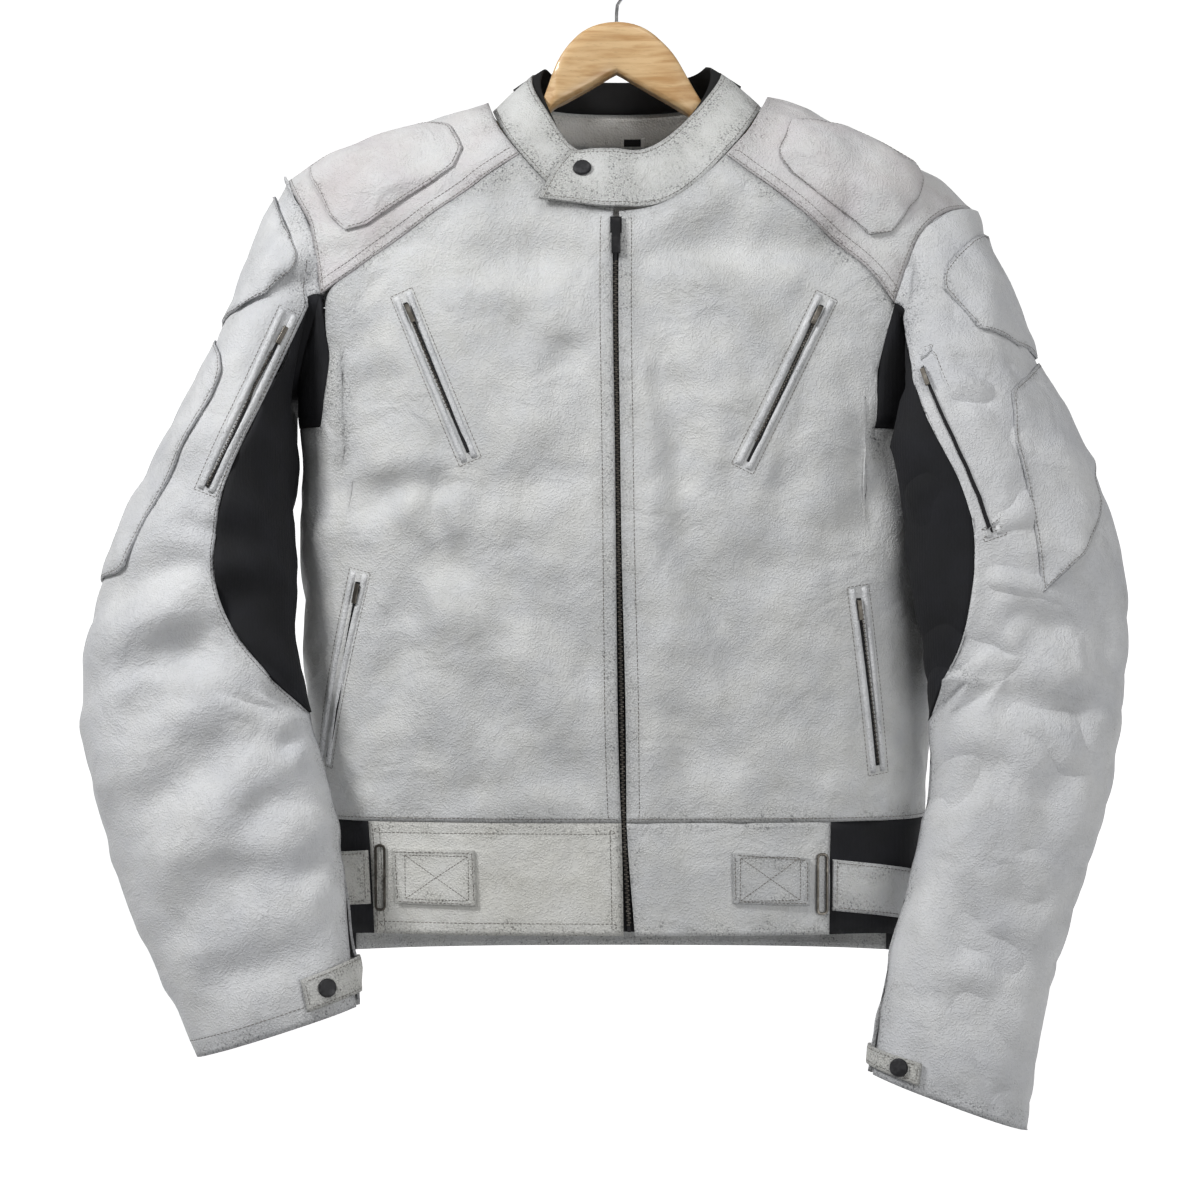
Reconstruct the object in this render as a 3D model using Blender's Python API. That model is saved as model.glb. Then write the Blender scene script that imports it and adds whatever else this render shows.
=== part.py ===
"""A leather motorcycle jacket hanging on a wooden hanger, as the pieces a maker would cut and sew.

Every size is in millimetres until it becomes a mesh. +Z is up, the front faces -Y, and the wearer's
right side is at -X. The origin is where the hanger's hook rests on its rail.

The body and the two sleeves are smooth surfaces read from short tables. A piece of the jacket is a grid
of points on one of them, given a wall of leather. Pads, welts and tabs are cut from the piece they lie
on, as on a paper pattern, and moved out from it.
"""

import math

import bmesh
import bpy
import numpy as np
from mathutils import Matrix, Vector

MM = 0.001
RIGHT, LEFT = -1, 1
SIDES = {"r": RIGHT, "l": LEFT}

# ---------------------------------------------------------------- driving sizes

SEAM = 0.22            # each piece stops this far short of its seam
LEATHER = 2.0          # wall of the leather pieces
STRETCH = 1.6          # wall of the black stretch pieces
LIFT = 0.35            # clear space under a piece that lies on another
WAIST_SEAM = -662.0    # height of the seam above the waistband
HEM = -746.0           # height of the front hem
BODY_POWER = 2.5       # squareness of the body seen from above
SHOULDER_ROUND = 70.0  # how far below the ridge the shoulder is still turning over
SLEEVE_POWER = 2.3     # squareness of a sleeve across
CORNER = 115.0         # turn on the armhole where the leather gives way to the stretch


class Table:
    """Rows of sizes under named columns, read between the rows along a smooth curve."""

    def __init__(self, columns, rows):
        self.columns = columns.split()
        self.rows = np.array(rows, float)
        key = self.rows[:, 0]
        self.slopes = np.gradient(self.rows, key, axis=0)

    def at(self, key):
        keys = self.rows[:, 0]
        key = min(max(key, keys[0]), keys[-1])
        i = min(max(int(np.searchsorted(keys, key, side="right")) - 1, 0), len(keys) - 2)
        gap = keys[i + 1] - keys[i]
        t = (key - keys[i]) / gap
        start, end = self.rows[i], self.rows[i + 1]
        leave, arrive = self.slopes[i] * gap, self.slopes[i + 1] * gap
        value = (start * (2 * t**3 - 3 * t**2 + 1) + leave * (t**3 - 2 * t**2 + t)
                 + end * (3 * t**2 - 2 * t**3) + arrive * (t**3 - t**2))
        return value[1:]


# The body: x of the zip line, half widths from it on the wearer's right and left, and how far the
# front and the back stand from the middle
BODY = Table("z zip right left front back", [
    (-800, 11, 237, 222, 80, 76),
    (-746, 9, 236, 224, 82, 77),
    (-662, 5, 236, 231, 86, 80),
    (-560, 3, 241, 238, 92, 84),
    (-450, 1, 241, 241, 94, 86),
    (-360, 0, 242, 246, 92, 84),
    (-300, -1, 255, 263, 86, 80),
    (-240, -1, 269, 277, 76, 72),
    (-170, 0, 276, 292, 62, 62),
    (-100, 0, 266, 292, 52, 54),
])

# The line over the shoulders, where front and back meet
RIDGE = Table("x z", [
    (-290, -206), (-253, -174), (-226, -160), (-180, -143), (-135, -130), (-98, -117), (0, -96),
    (115, -114), (140, -121), (178, -135), (216, -154), (247, -174), (276, -201), (310, -240),
])

# The neck seam, by turn around the neck: 0 at the centre front, 90 on the shoulder, 180 at the back
NECK = {
    RIGHT: Table("turn x z", [
        (0, 0, -209), (22, -27, -204), (45, -54, -187), (60, -72, -165), (75, -88, -144),
        (90, -98, -117), (105, -92, -128), (120, -76, -140), (150, -40, -148), (180, 0, -150)]),
    LEFT: Table("turn x z", [
        (0, 0, -209), (22, 27, -206), (45, 57, -191), (60, 81, -166), (75, 103, -138),
        (90, 115, -114), (105, 106, -126), (120, 84, -139), (150, 43, -148), (180, 0, -150)]),
}

# The yoke seams from the neck (0) to the corner under the arm (1), in front and behind
YOKE_SEAM = {
    RIGHT: Table("part x z", [(0, -72, -165), (0.5, -146, -217), (1, -220, -270)]),
    LEFT: Table("part x z", [(0, 81, -166), (0.3, 121, -196), (0.6, 159, -229), (0.8, 187, -251),
                             (1, 206, -277)]),
}
BACK_SEAM = {
    RIGHT: Table("part x z", [(0, -76, -140), (0.5, -152, -213), (1, -220, -270)]),
    LEFT: Table("part x z", [(0, 84, -139), (0.5, 152, -213), (1, 206, -277)]),
}

# The armhole from the shoulder point (0) to the corner, and from there under the arm (180)
ARMHOLE_TOP = {
    RIGHT: Table("turn x z", [(0, -253, -174), (25, -245, -191), (50, -232, -212), (80, -226, -238),
                              (CORNER, -220, -270)]),
    LEFT: Table("turn x z", [(0, 276, -201), (20, 262, -200), (45, 240, -210), (65, 225, -226),
                             (85, 219, -242), (CORNER, 206, -277)]),
}
ARMHOLE_UNDER = {RIGHT: -350.0, LEFT: -352.0}

# The stretch insert's front edge, from the corner down, and the height of its lower edge
INSERT_EDGE = {
    RIGHT: Table("part x z", [(0, -220, -270), (0.5, -213, -318), (1, -222, -368)]),
    LEFT: Table("part x z", [(0, 206, -277), (0.5, 193, -324), (1, 192, -370)]),
}

# The sleeves, in rings from the armhole to the cuff. `along` is measured down the outer line
SLEEVE_COLUMNS = "along outer_x outer_y outer_z inner_x inner_y inner_z front back"
SLEEVE = {
    RIGHT: Table(SLEEVE_COLUMNS, [
        (0, -258, -2, -180, -241, 0, -345, 50, 50),
        (31, -270, -3, -209, -242, -2, -357, 58, 56),
        (74, -281, -6, -249, -242, -6, -370, 66, 62),
        (124, -300, -10, -295, -242, -12, -389, 70, 66),
        (191, -326, -16, -357, -241, -22, -416, 72, 68),
        (246, -351, -22, -405, -243, -32, -441, 70, 66),
        (304, -377, -30, -459, -238, -42, -472, 66, 62),
        (346, -394, -38, -498, -240, -50, -499, 62, 58),
        (392, -403, -46, -543, -238, -56, -526, 60, 55),
        (436, -401, -54, -587, -231, -62, -555, 58, 52),
        (480, -394, -62, -629, -226, -68, -587, 55, 50),
        (525, -384, -68, -672, -216, -76, -624, 52, 46),
        (570, -369, -74, -714, -205, -82, -658, 48, 42),
        (610, -352, -80, -750, -200, -88, -697, 44, 38),
        (656, -332, -86, -791, -195, -93, -739, 40, 34),
        (704, -309, -92, -833, -188, -98, -794, 34, 29),
    ]),
    LEFT: Table(SLEEVE_COLUMNS, [
        (0, 277, -2, -201, 198, -20, -343, 56, 56),
        (30, 286, -4, -226, 196, -40, -354, 60, 60),
        (65, 295, -8, -262, 196, -54, -368, 62, 62),
        (115, 314, -12, -309, 201, -64, -389, 63, 64),
        (164, 336, -18, -352, 208, -68, -416, 63, 64),
        (222, 361, -24, -405, 214, -69, -447, 62, 62),
        (276, 381, -32, -456, 216, -68, -483, 60, 60),
        (325, 388, -40, -505, 223, -68, -516, 60, 58),
        (369, 383, -48, -549, 229, -70, -548, 59, 56),
        (408, 377, -56, -587, 231, -72, -583, 57, 53),
        (449, 372, -62, -628, 232, -75, -620, 54, 50),
        (490, 361, -68, -667, 229, -80, -654, 51, 46),
        (534, 346, -74, -709, 220, -84, -685, 47, 42),
        (581, 330, -80, -753, 210, -88, -721, 43, 38),
        (622, 318, -86, -792, 200, -92, -760, 40, 34),
        (663, 311, -90, -832, 190, -97, -804, 36, 31),
        (718, 302, -93, -887, 184, -100, -843, 33, 28),
    ]),
}
# Over this length the sleeve leaves the armhole's shape
SLEEVE_JOIN = {RIGHT: 120.0, LEFT: 90.0}

# How far the left sleeve's rings are turned behind the arm at the armhole, and where that has faded
RING_SLIP = {RIGHT: 0.0, LEFT: 17.0}
SLIP_LENGTH = 220.0
SLIP_START = 135.0     # the slip acts over the half turn from here, and is largest in its middle

# How far a sleeve stands off the body, down its length
BODY_CLEARANCE = {
    RIGHT: Table("along gap", [(0, 0), (10, 5), (35, 6), (80, 4), (140, 3.6), (420, 3.6), (800, 2)]),
    LEFT: Table("along gap", [(0, 0), (10, 4), (35, 8.5), (80, 14), (140, 9), (420, 3.6), (800, 2)]),
}

# Where a sleeve's leather meets the stretch under the arm, and where the two edges come together
STRETCH_EDGE = {
    RIGHT: Table("along turn", [(0, CORNER), (57, 110), (115, 104), (193, 94), (266, 95), (316, 99),
                                (355, 109), (399, 126), (446, 150), (472, 178)]),
    LEFT: Table("along turn", [(0, CORNER), (60, 120), (110, 119), (159, 114), (201, 111), (242, 111),
                               (296, 118), (339, 129), (387, 156), (413, 178)]),
}


TURN_MM = 1.2          # one degree of turn on a sleeve, laid flat

# The largest folds, as soft troughs from one end to the other: x1, z1, x2, z2, half width and sink
FRONT_FOLDS = [
    (-214, -421, -126, -410, 17, 6),
    (-152, -466, -118, -486, 20, 5),
    (-156, -500, -158, -560, 20, 4),
    (-90, -430, -30, -520, 26, 3),
    (24, -306, 92, -500, 24, 5),
    (60, -252, 168, -232, 18, 4),
    (120, -540, 60, -640, 26, 4),
    (176, -400, 120, -440, 22, 4),
]
BACK_FOLDS = [
    (-190, -330, -80, -380, 24, 5),
    (190, -340, 90, -400, 24, 5),
    (-120, -480, 70, -520, 28, 5),
    (140, -560, 40, -620, 26, 5),
    (-170, -600, -60, -570, 24, 4),
]
# ... and on the sleeves, length along and length round from the outer line
SLEEVE_FOLDS = {
    RIGHT: [(352, 14, 330, 110, 20, 6), (400, 24, 386, 144, 22, 6), (452, 72, 440, 168, 24, 5),
            (560, 24, 640, 96, 24, 4), (360, 300, 400, 396, 24, 6), (470, 288, 480, 384, 24, 5)],
    LEFT: [(318, 10, 330, 91, 18, 7), (352, 36, 346, 125, 22, 6), (420, 108, 540, 84, 24, 5),
           (560, 72, 640, 132, 24, 4), (340, 300, 360, 396, 24, 6), (470, 288, 500, 384, 24, 5)],
}


def sunk(folds, x, z):
    """How far the cloth sinks at a place, from all the troughs near it."""
    depth = 0.0
    for x1, z1, x2, z2, half_width, sink in folds:
        run_x, run_z = x2 - x1, z2 - z1
        length = run_x**2 + run_z**2
        part = min(max(((x - x1) * run_x + (z - z1) * run_z) / length, 0.0), 1.0)
        off = math.hypot(x - x1 - part * run_x, z - z1 - part * run_z)
        depth += sink * math.exp(-(off / half_width) ** 2)
    return depth


# ---------------------------------------------------------------- the body as a surface

def across_at(side, x, z):
    """How far round the body a point at x lies: 0 at the centre front, 1 at the side."""
    zip_x, right, left, _, _ = BODY.at(z)
    half = right if side < 0 else left
    part = min(max(side * (x - zip_x) / half, 0.0), 1.0)
    return math.degrees(math.asin(part ** (BODY_POWER / 2))) / 90


def body(side, round_, z, depth=0.0):
    """A point on the body. round_ is 0 at the centre front, 1 at the side and 2 at the centre back."""
    zip_x, right, left, front, back = BODY.at(z)
    half = right if side < 0 else left
    turn = math.radians(90 * round_)
    across = max(math.sin(turn), 0.0) ** (2 / BODY_POWER)
    stand = abs(math.cos(turn)) ** (2 / BODY_POWER)
    x = zip_x + side * half * across
    lean = min(max(1 - (RIDGE.at(x)[0] - z) / SHOULDER_ROUND, 0.0), 1.0)
    over = math.sqrt(1 - lean**2)
    sink = sunk(FRONT_FOLDS if round_ < 1 else BACK_FOLDS, x, z) * stand * over
    reach = (front if round_ < 1 else back) - depth
    y = reach * stand * over - sink
    return np.array((zip_x + side * (half - depth) * across, -y if round_ < 1 else y, z - depth * lean))


def behind(point):
    """The place on the back that matches a place on the front."""
    return 2 - point[0], point[1]


def on_front(side, x, z):
    return across_at(side, x, z), z


def to_ridge(x, z):
    """Length over the shoulder from the ridge down to height z."""
    drop = max(RIDGE.at(x)[0] - z, 0.0)
    if drop < SHOULDER_ROUND:
        return SHOULDER_ROUND * math.acos(1 - drop / SHOULDER_ROUND)
    return SHOULDER_ROUND * math.pi / 2 + drop - SHOULDER_ROUND


def over_ridge(side, x, length):
    """The place `length` from the ridge, in front where it is negative and behind where positive."""
    quarter = SHOULDER_ROUND * math.pi / 2
    away = abs(length)
    if away < quarter:
        drop = SHOULDER_ROUND * (1 - math.cos(away / SHOULDER_ROUND))
    else:
        drop = SHOULDER_ROUND + away - quarter
    z = RIDGE.at(x)[0] - drop
    place = on_front(side, x, z)
    return place if length < 0 else behind(place)


def armhole_over(side, turn):
    """x and length over the ridge on the armhole's upper part; turn runs -CORNER to CORNER."""
    x, z = ARMHOLE_TOP[side].at(abs(turn))
    length = to_ridge(x, z)
    return x, (-length if turn > 0 else length)


def armhole_lower(side):
    """Round and height on the armhole's lower part, from corner to corner under the arm."""
    x, z = ARMHOLE_TOP[side].at(CORNER)
    corner = across_at(side, x, z)
    bottom = ARMHOLE_UNDER[side]
    front = [(CORNER, corner, z),
             (140, corner + 0.34 * (1 - corner), z + 0.52 * (bottom - z)),
             (160, corner + 0.68 * (1 - corner), z + 0.87 * (bottom - z)),
             (180, 1.0, bottom)]
    rows = front + [(360 - turn, 2 - round_, height) for turn, round_, height in reversed(front[:-1])]
    return Table("turn round z", rows)


ARMHOLE_LOWER = {side: armhole_lower(side) for side in SIDES.values()}


def armhole(side, turn):
    """The armhole seam as a place on the body: 0 at the shoulder, 90 in front, 180 under the arm."""
    turn = turn % 360
    if CORNER < turn < 360 - CORNER:
        round_, z = ARMHOLE_LOWER[side].at(turn)
        return round_, z
    if turn > 180:
        turn -= 360
    x, length = armhole_over(side, turn)
    return over_ridge(side, x, length)


# ---------------------------------------------------------------- the sleeves as surfaces

def ease(part):
    part = min(max(part, 0.0), 1.0)
    return part * part * (3 - 2 * part)


def clear_of_body(side, point, gap):
    """Push a point that would be inside the body straight out from its middle."""
    x, y, z = point
    zip_x, right, left, front, back = BODY.at(z)
    half = (right if side < 0 else left) + gap
    lean = min(max(1 - (RIDGE.at(x)[0] - z) / SHOULDER_ROUND, 0.0), 1.0)
    reach = ((front if y < 0 else back) + gap) * max(math.sqrt(1 - lean**2), 0.05)
    inside = (abs(x - zip_x) / half) ** BODY_POWER + (abs(y) / reach) ** BODY_POWER
    if inside >= 1:
        return point
    grow = inside ** (-1 / BODY_POWER)
    return np.array((zip_x + (x - zip_x) * grow, y * grow, z))


def sleeve(side, along, turn, depth=0.0):
    """A point on a sleeve. turn is 0 on the outer line, 90 in front, 180 inside and 270 behind."""
    ox, oy, oz, ix, iy, iz, front, back = SLEEVE[side].at(along)
    outer, inner = np.array((ox, oy, oz)), np.array((ix, iy, iz))
    middle, arm = (outer + inner) / 2, (outer - inner) / 2
    half = np.linalg.norm(arm)
    turn = turn % 360
    sunken = depth + sunk(SLEEVE_FOLDS[side], along, turn * TURN_MM)
    slip = RING_SLIP[side] * (1 - ease(along / SLIP_LENGTH))
    slip *= max(math.sin(math.radians(turn - SLIP_START)), 0.0)
    angle = math.radians(turn + slip)
    cosine, sine = math.cos(angle), math.sin(angle)
    power = 2 / SLEEVE_POWER
    out = math.copysign(abs(cosine) ** power, cosine) * (half - sunken)
    fore = math.copysign(abs(sine) ** power, sine) * ((front if sine > 0 else back) - sunken)
    ring = middle + arm / half * out + np.array((0.0, -fore, 0.0))
    if along < SLEEVE_JOIN[side]:
        start = body(side, *armhole(side, turn), depth)
        blend = ease(along / SLEEVE_JOIN[side])
        ring = start * (1 - blend) + ring * blend
    if math.cos(math.radians(turn)) > 0:
        return ring
    gap = BODY_CLEARANCE[side].at(along)[0]
    joined = ease(along / 8.0)
    return clear_of_body(side, ring, (gap + depth) * joined - depth * (1 - joined))


# ---------------------------------------------------------------- making the pieces

JACKET = bpy.data.collections.new("leather_motorcycle_jacket")
CUTTERS = bpy.data.collections.new("cutters")


def material(name, colour, roughness, metallic=0.0):
    finish = bpy.data.materials.new(name)
    finish.use_nodes = True
    shader = finish.node_tree.nodes["Principled BSDF"]
    shader.inputs["Base Color"].default_value = (*colour, 1.0)
    shader.inputs["Roughness"].default_value = roughness
    shader.inputs["Metallic"].default_value = metallic
    return finish


FINISHES = {
    "leather": ((0.62, 0.63, 0.65), 0.55, 0.0),
    "stretch": ((0.010, 0.011, 0.018), 0.9, 0.0),
    "lining": ((0.008, 0.008, 0.010), 0.95, 0.0),
    "zip": ((0.015, 0.015, 0.017), 0.5, 0.0),
    "metal": ((0.30, 0.29, 0.27), 0.4, 1.0),
    "snap": ((0.03, 0.03, 0.032), 0.45, 0.6),
    "wood": ((0.66, 0.43, 0.20), 0.45, 0.0),
}


def add_solid(name, bm, finish, pivot=(0.0, 0.0, 0.0), smooth=True):
    """Keep a closed mesh, made in millimetres, as a named object whose origin is at the pivot."""
    bmesh.ops.transform(bm, matrix=Matrix.Translation(-Vector(pivot)), verts=bm.verts)
    bmesh.ops.scale(bm, vec=(MM, MM, MM), verts=bm.verts)
    bmesh.ops.recalc_face_normals(bm, faces=bm.faces)
    for face in bm.faces:
        face.smooth = smooth
    mesh = bpy.data.meshes.new(name)
    bm.to_mesh(mesh)
    bm.free()
    solid = bpy.data.objects.new(name, mesh)
    solid.location = Vector(pivot) * MM
    colour, roughness, metallic = FINISHES[finish]
    mesh.materials.append(material(name, colour, roughness, metallic))
    JACKET.objects.link(solid)
    return solid


def pattern(grid, thickness, seam=SEAM):
    """A flat pattern from rows of (flat place, outer point, inner point).

    Its edges stop short of the seams. Each vertex keeps its outer point and the way out of the cloth.
    """
    flat = np.array([[spot[0] for spot in row] for row in grid], float)
    outer = np.array([[spot[1] for spot in row] for row in grid], float)
    inner = np.array([[spot[2] for spot in row] for row in grid], float)
    for rows in (slice(None), slice(None, None, -1)):
        for sheets in ((flat[rows], outer[rows], inner[rows]),
                       tuple(np.swapaxes(part, 0, 1)[rows] for part in (flat, outer, inner))):
            reach = np.linalg.norm(sheets[1][1] - sheets[1][0], axis=1, keepdims=True)
            share = np.minimum(seam / np.maximum(reach, 1e-6), 0.4)
            for sheet in sheets:
                sheet[0] += (sheet[1] - sheet[0]) * share
    bm = bmesh.new()
    place = bm.verts.layers.float_vector.new("place")
    away = bm.verts.layers.float_vector.new("away")
    count, wide = flat.shape[:2]
    verts = []
    for i in range(count):
        for j in range(wide):
            vert = bm.verts.new((flat[i, j, 0], flat[i, j, 1], 0.0))
            vert[place] = outer[i, j]
            vert[away] = (outer[i, j] - inner[i, j]) / thickness
            verts.append(vert)
    for i in range(count - 1):
        for j in range(wide - 1):
            a, b = verts[i * wide + j], verts[i * wide + j + 1]
            c, d = verts[(i + 1) * wide + j + 1], verts[(i + 1) * wide + j]
            bm.faces.new((a, b, c))
            bm.faces.new((a, c, d))
    return bm


def solid_from(name, flat_pattern, finish, low, high):
    """Lay a flat pattern on the jacket and give it a wall from `low` to `high` along the way out.

    `high` may be a function of a vertex's flat place.
    """
    place = flat_pattern.verts.layers.float_vector["place"]
    away = flat_pattern.verts.layers.float_vector["away"]
    bm = bmesh.new()
    top, bottom = {}, {}
    for vert in flat_pattern.verts:
        reach = high(vert.co) if callable(high) else high
        top[vert] = bm.verts.new(vert[place] + vert[away] * reach)
        bottom[vert] = bm.verts.new(vert[place] + vert[away] * low)
    for face in flat_pattern.faces:
        bm.faces.new([top[vert] for vert in face.verts])
        bm.faces.new([bottom[vert] for vert in reversed(face.verts)])
    for edge in flat_pattern.edges:
        if edge.is_boundary:
            start, end = edge.verts
            bm.faces.new((top[start], top[end], bottom[end], bottom[start]))
    bmesh.ops.triangulate(bm, faces=bm.faces)
    return add_solid(name, bm, finish)


def cut_out(flat_pattern, outline, slit=None):
    """The part of a flat pattern inside a convex outline, with an optional convex slit left open."""
    cloth = flat_pattern.copy()

    def trim(corners, clear):
        middle = sum((Vector((*corner, 0.0)) for corner in corners), Vector()) / len(corners)
        for start, end in zip(corners, corners[1:] + corners[:1]):
            start, end = Vector((*start, 0.0)), Vector((*end, 0.0))
            outward = (end - start).cross(Vector((0.0, 0.0, 1.0)))
            if outward.dot(middle - start) > 0:
                outward = -outward
            bmesh.ops.bisect_plane(cloth, geom=cloth.verts[:] + cloth.edges[:] + cloth.faces[:],
                                   dist=1e-4, plane_co=start, plane_no=outward, clear_outer=clear)
        return middle

    trim(outline, True)
    if slit:
        trim(slit, False)
        middle = sum((Vector((*corner, 0.0)) for corner in slit), Vector()) / len(slit)

        def inside(point):
            for start, end in zip(slit, slit[1:] + slit[:1]):
                start, end = Vector((*start, 0.0)), Vector((*end, 0.0))
                outward = (end - start).cross(Vector((0.0, 0.0, 1.0)))
                if outward.dot(middle - start) > 0:
                    outward = -outward
                if outward.dot(point - start) > 0:
                    return False
            return True

        gone = [face for face in cloth.faces if inside(face.calc_center_median())]
        bmesh.ops.delete(cloth, geom=gone, context="FACES")
    bmesh.ops.triangulate(cloth, faces=cloth.faces)
    return cloth


# ---------------------------------------------------------------- the body's pieces

YOKE_COLUMNS, YOKE_ROWS = 8, 14       # from neck to armhole, and from front to back over the shoulder
NECK_TURNS = (0, 15, 30, 45, 60)      # columns of the fronts along the neck
BACK_NECK_TURNS = (180, 160, 140, 120)
INSERT_PARTS = (0.0, 0.5, 1.0)
SIDE_STEPS = 3
FRONT_ROWS, BACK_ROWS = 13, 10
WAIST_SHARE = 0.9                     # how much the columns draw together on their way to the waist

CENTRE_GAP = Table("z gap", [(-746, 8.0), (-664, 3.4), (-620, 5.0), (-450, 3.6), (-209, 3.8)])


def from_table(side, table, key):
    x, z = table[side].at(key)
    return on_front(side, x, z)


def seam_places(side, neck_turns, yoke_seam):
    """The upper edge of a front or half a back, from the neck to the side seam, shared with others."""
    neck = [from_table(side, NECK, turn) for turn in neck_turns]
    seam = [from_table(side, yoke_seam, step / YOKE_COLUMNS) for step in range(YOKE_COLUMNS + 1)]
    insert = [from_table(side, INSERT_EDGE, part) for part in INSERT_PARTS]
    last = insert[-1]
    under = [(last[0] + (1 - last[0]) * step / SIDE_STEPS, last[1]) for step in range(SIDE_STEPS + 1)]
    return neck, seam, insert, under


def half_panel(side, neck_turns, yoke_seam, rows):
    """Rows of places for a front, or half a back, from its upper edge down to the waist seam.

    Beside the stretch insert the columns close up, so that none crosses the insert's edge.
    """
    neck, seam, insert, under = seam_places(side, neck_turns, yoke_seam)
    top = neck + seam[1:] + insert[1:] + under[1:]
    corner = len(neck) + len(seam) - 2
    waist = [WAIST_SHARE * place[0] for place in top[:corner + 1]]
    waist += [waist[-1] + 0.05, waist[-1] + 0.10]
    waist += [waist[-1] + (1 - waist[-1]) * step / SIDE_STEPS for step in range(1, SIDE_STEPS + 1)]
    corner_z, insert_z = insert[0][1], insert[-1][1]
    grid = []
    for row in range(rows + 1):
        part = row / rows
        line = []
        for column, (place, low) in enumerate(zip(top, waist)):
            round_ = place[0] + (low - place[0]) * part
            z = place[1] + (WAIST_SEAM - place[1]) * part
            if column <= corner and z < corner_z:
                down = min((corner_z - z) / (corner_z - insert_z), 1.0)
                edge = from_table(side, INSERT_EDGE, down)[0] - 0.035 * min(4 * down, 1.0)
                here = top[corner][0] + (waist[corner] - top[corner][0]) * (
                    (corner_z - z) / (corner_z - WAIST_SEAM))
                squeeze = min(edge / here, 1.0)
                round_ *= squeeze + (1 - squeeze) * ease((insert_z - z) / 150.0)
            line.append((round_, z))
        grid.append(line)
    return grid


def on_body(side, grid, thickness=LEATHER):
    """Turn rows of body places into pattern rows, flat as seen from the front."""
    rows = []
    for line in grid:
        row = []
        for round_, z in line:
            outer = body(side, round_, z)
            row.append(((outer[0], z), outer, body(side, round_, z, thickness)))
        rows.append(row)
    return rows


def centre_edge(side, z):
    zip_x = BODY.at(z)[0]
    return across_at(side, zip_x + side * CENTRE_GAP.at(z)[0] / 2, z)


def front_pattern(side):
    grid = half_panel(side, NECK_TURNS, YOKE_SEAM, FRONT_ROWS)
    for line in grid:
        line[0] = (centre_edge(side, line[0][1]), line[0][1])
    return pattern(on_body(side, grid), LEATHER)


def back_pattern():
    """The back in one piece, with wings that reach the side seams under the stretch inserts."""
    halves = {}
    for side in SIDES.values():
        grid = half_panel(side, BACK_NECK_TURNS, BACK_SEAM, BACK_ROWS)
        halves[side] = on_body(side, [[behind(place) for place in line[::-1]] for line in grid])
    grid = [right + left[-2::-1] for right, left in zip(halves[RIGHT], halves[LEFT])]
    return pattern(grid, LEATHER)


def yoke_pattern(side):
    """A shoulder yoke, laid flat by x and length over the ridge."""
    def seam_line(seam, sign):
        spots = [seam[side].at(step / YOKE_COLUMNS) for step in range(YOKE_COLUMNS + 1)]
        return [np.array((x, sign * to_ridge(x, z))) for x, z in spots]

    ahead, rear = seam_line(YOKE_SEAM, -1), seam_line(BACK_SEAM, 1)
    steps = [2 * row / YOKE_ROWS - 1 for row in range(YOKE_ROWS + 1)]
    grid = []
    for row, step in enumerate(steps):
        line = []
        part = row / YOKE_ROWS
        neck_x, neck_z = NECK[side].at(90 + 30 * step)
        arm_x, arm_length = armhole_over(side, -CORNER * step)
        inner = np.array((neck_x, math.copysign(to_ridge(neck_x, neck_z), step)))
        outer = np.array((arm_x, arm_length))
        for column in range(YOKE_COLUMNS + 1):
            share = column / YOKE_COLUMNS
            edge_mix = (1 - part) * ahead[column] + part * rear[column]
            side_mix = (1 - share) * inner + share * outer
            corner_mix = ((1 - part) * ((1 - share) * ahead[0] + share * ahead[-1])
                          + part * ((1 - share) * rear[0] + share * rear[-1]))
            x, length = edge_mix + side_mix - corner_mix
            round_, z = over_ridge(side, x, length)
            line.append(((x, length), body(side, round_, z), body(side, round_, z, LEATHER)))
        grid.append(line)
    return pattern(grid, LEATHER)


ARM_STEPS = 7    # columns of a half of the leather sleeve, which the yoke's rows match
UNDER_STEPS = 8  # columns of the stretch under a sleeve, which the insert's match


def insert_pattern(side):
    """The stretch insert on the body under the arm."""
    z_low = INSERT_EDGE[side].at(1)[1]
    edge = [from_table(side, INSERT_EDGE, part) for part in INSERT_PARTS]
    grid = []
    for part, (edge_round, edge_z) in zip(INSERT_PARTS, edge):
        line = []
        for step in range(UNDER_STEPS + 1):
            turn = CORNER + (360 - 2 * CORNER) * step / UNDER_STEPS
            top_round, top_z = armhole(side, turn)
            low_round = edge[-1][0] + (2 - 2 * edge[-1][0]) * step / UNDER_STEPS
            round_ = top_round + (low_round - top_round) * part
            z = top_z + (z_low - top_z) * part
            if step == 0:
                round_, z = edge_round, edge_z
            if step == UNDER_STEPS:
                round_, z = 2 - edge_round, edge_z
            line.append((round_, z))
        grid.append(line)
    return pattern(on_body(side, grid, STRETCH), STRETCH, seam=0.55)


def hem(round_):
    """The hem is lower behind than in front."""
    return HEM - 23.0 * ease((round_ - 0.6) / 0.6)


def band_rows(side, start, end, columns, thickness):
    """A stretch of the waistband on one side, laid flat by hundredths of the way round."""
    grid = []
    for row in range(BAND_ROWS + 1):
        part = row / BAND_ROWS
        line = []
        for column in range(columns + 1):
            round_ = start + (end - start) * column / columns
            z = WAIST_SEAM + (hem(round_) - WAIST_SEAM) * part
            if column == 0 and start == 0:
                round_ = centre_edge(side, z)
            line.append(((100 * round_, z), body(side, round_, z), body(side, round_, z, thickness)))
        grid.append(line)
    return grid


BAND_ROWS = 3
BAND_FRONT_END = {RIGHT: across_at(RIGHT, -183, -700), LEFT: across_at(LEFT, 158, -700)}
BAND_BACK_START = 1.32


# ---------------------------------------------------------------- the sleeves' pieces

UPPER_ROWS, LOWER_ROWS = 15, 7
FIRST_ROWS = (0, 8, 20, 38)


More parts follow.
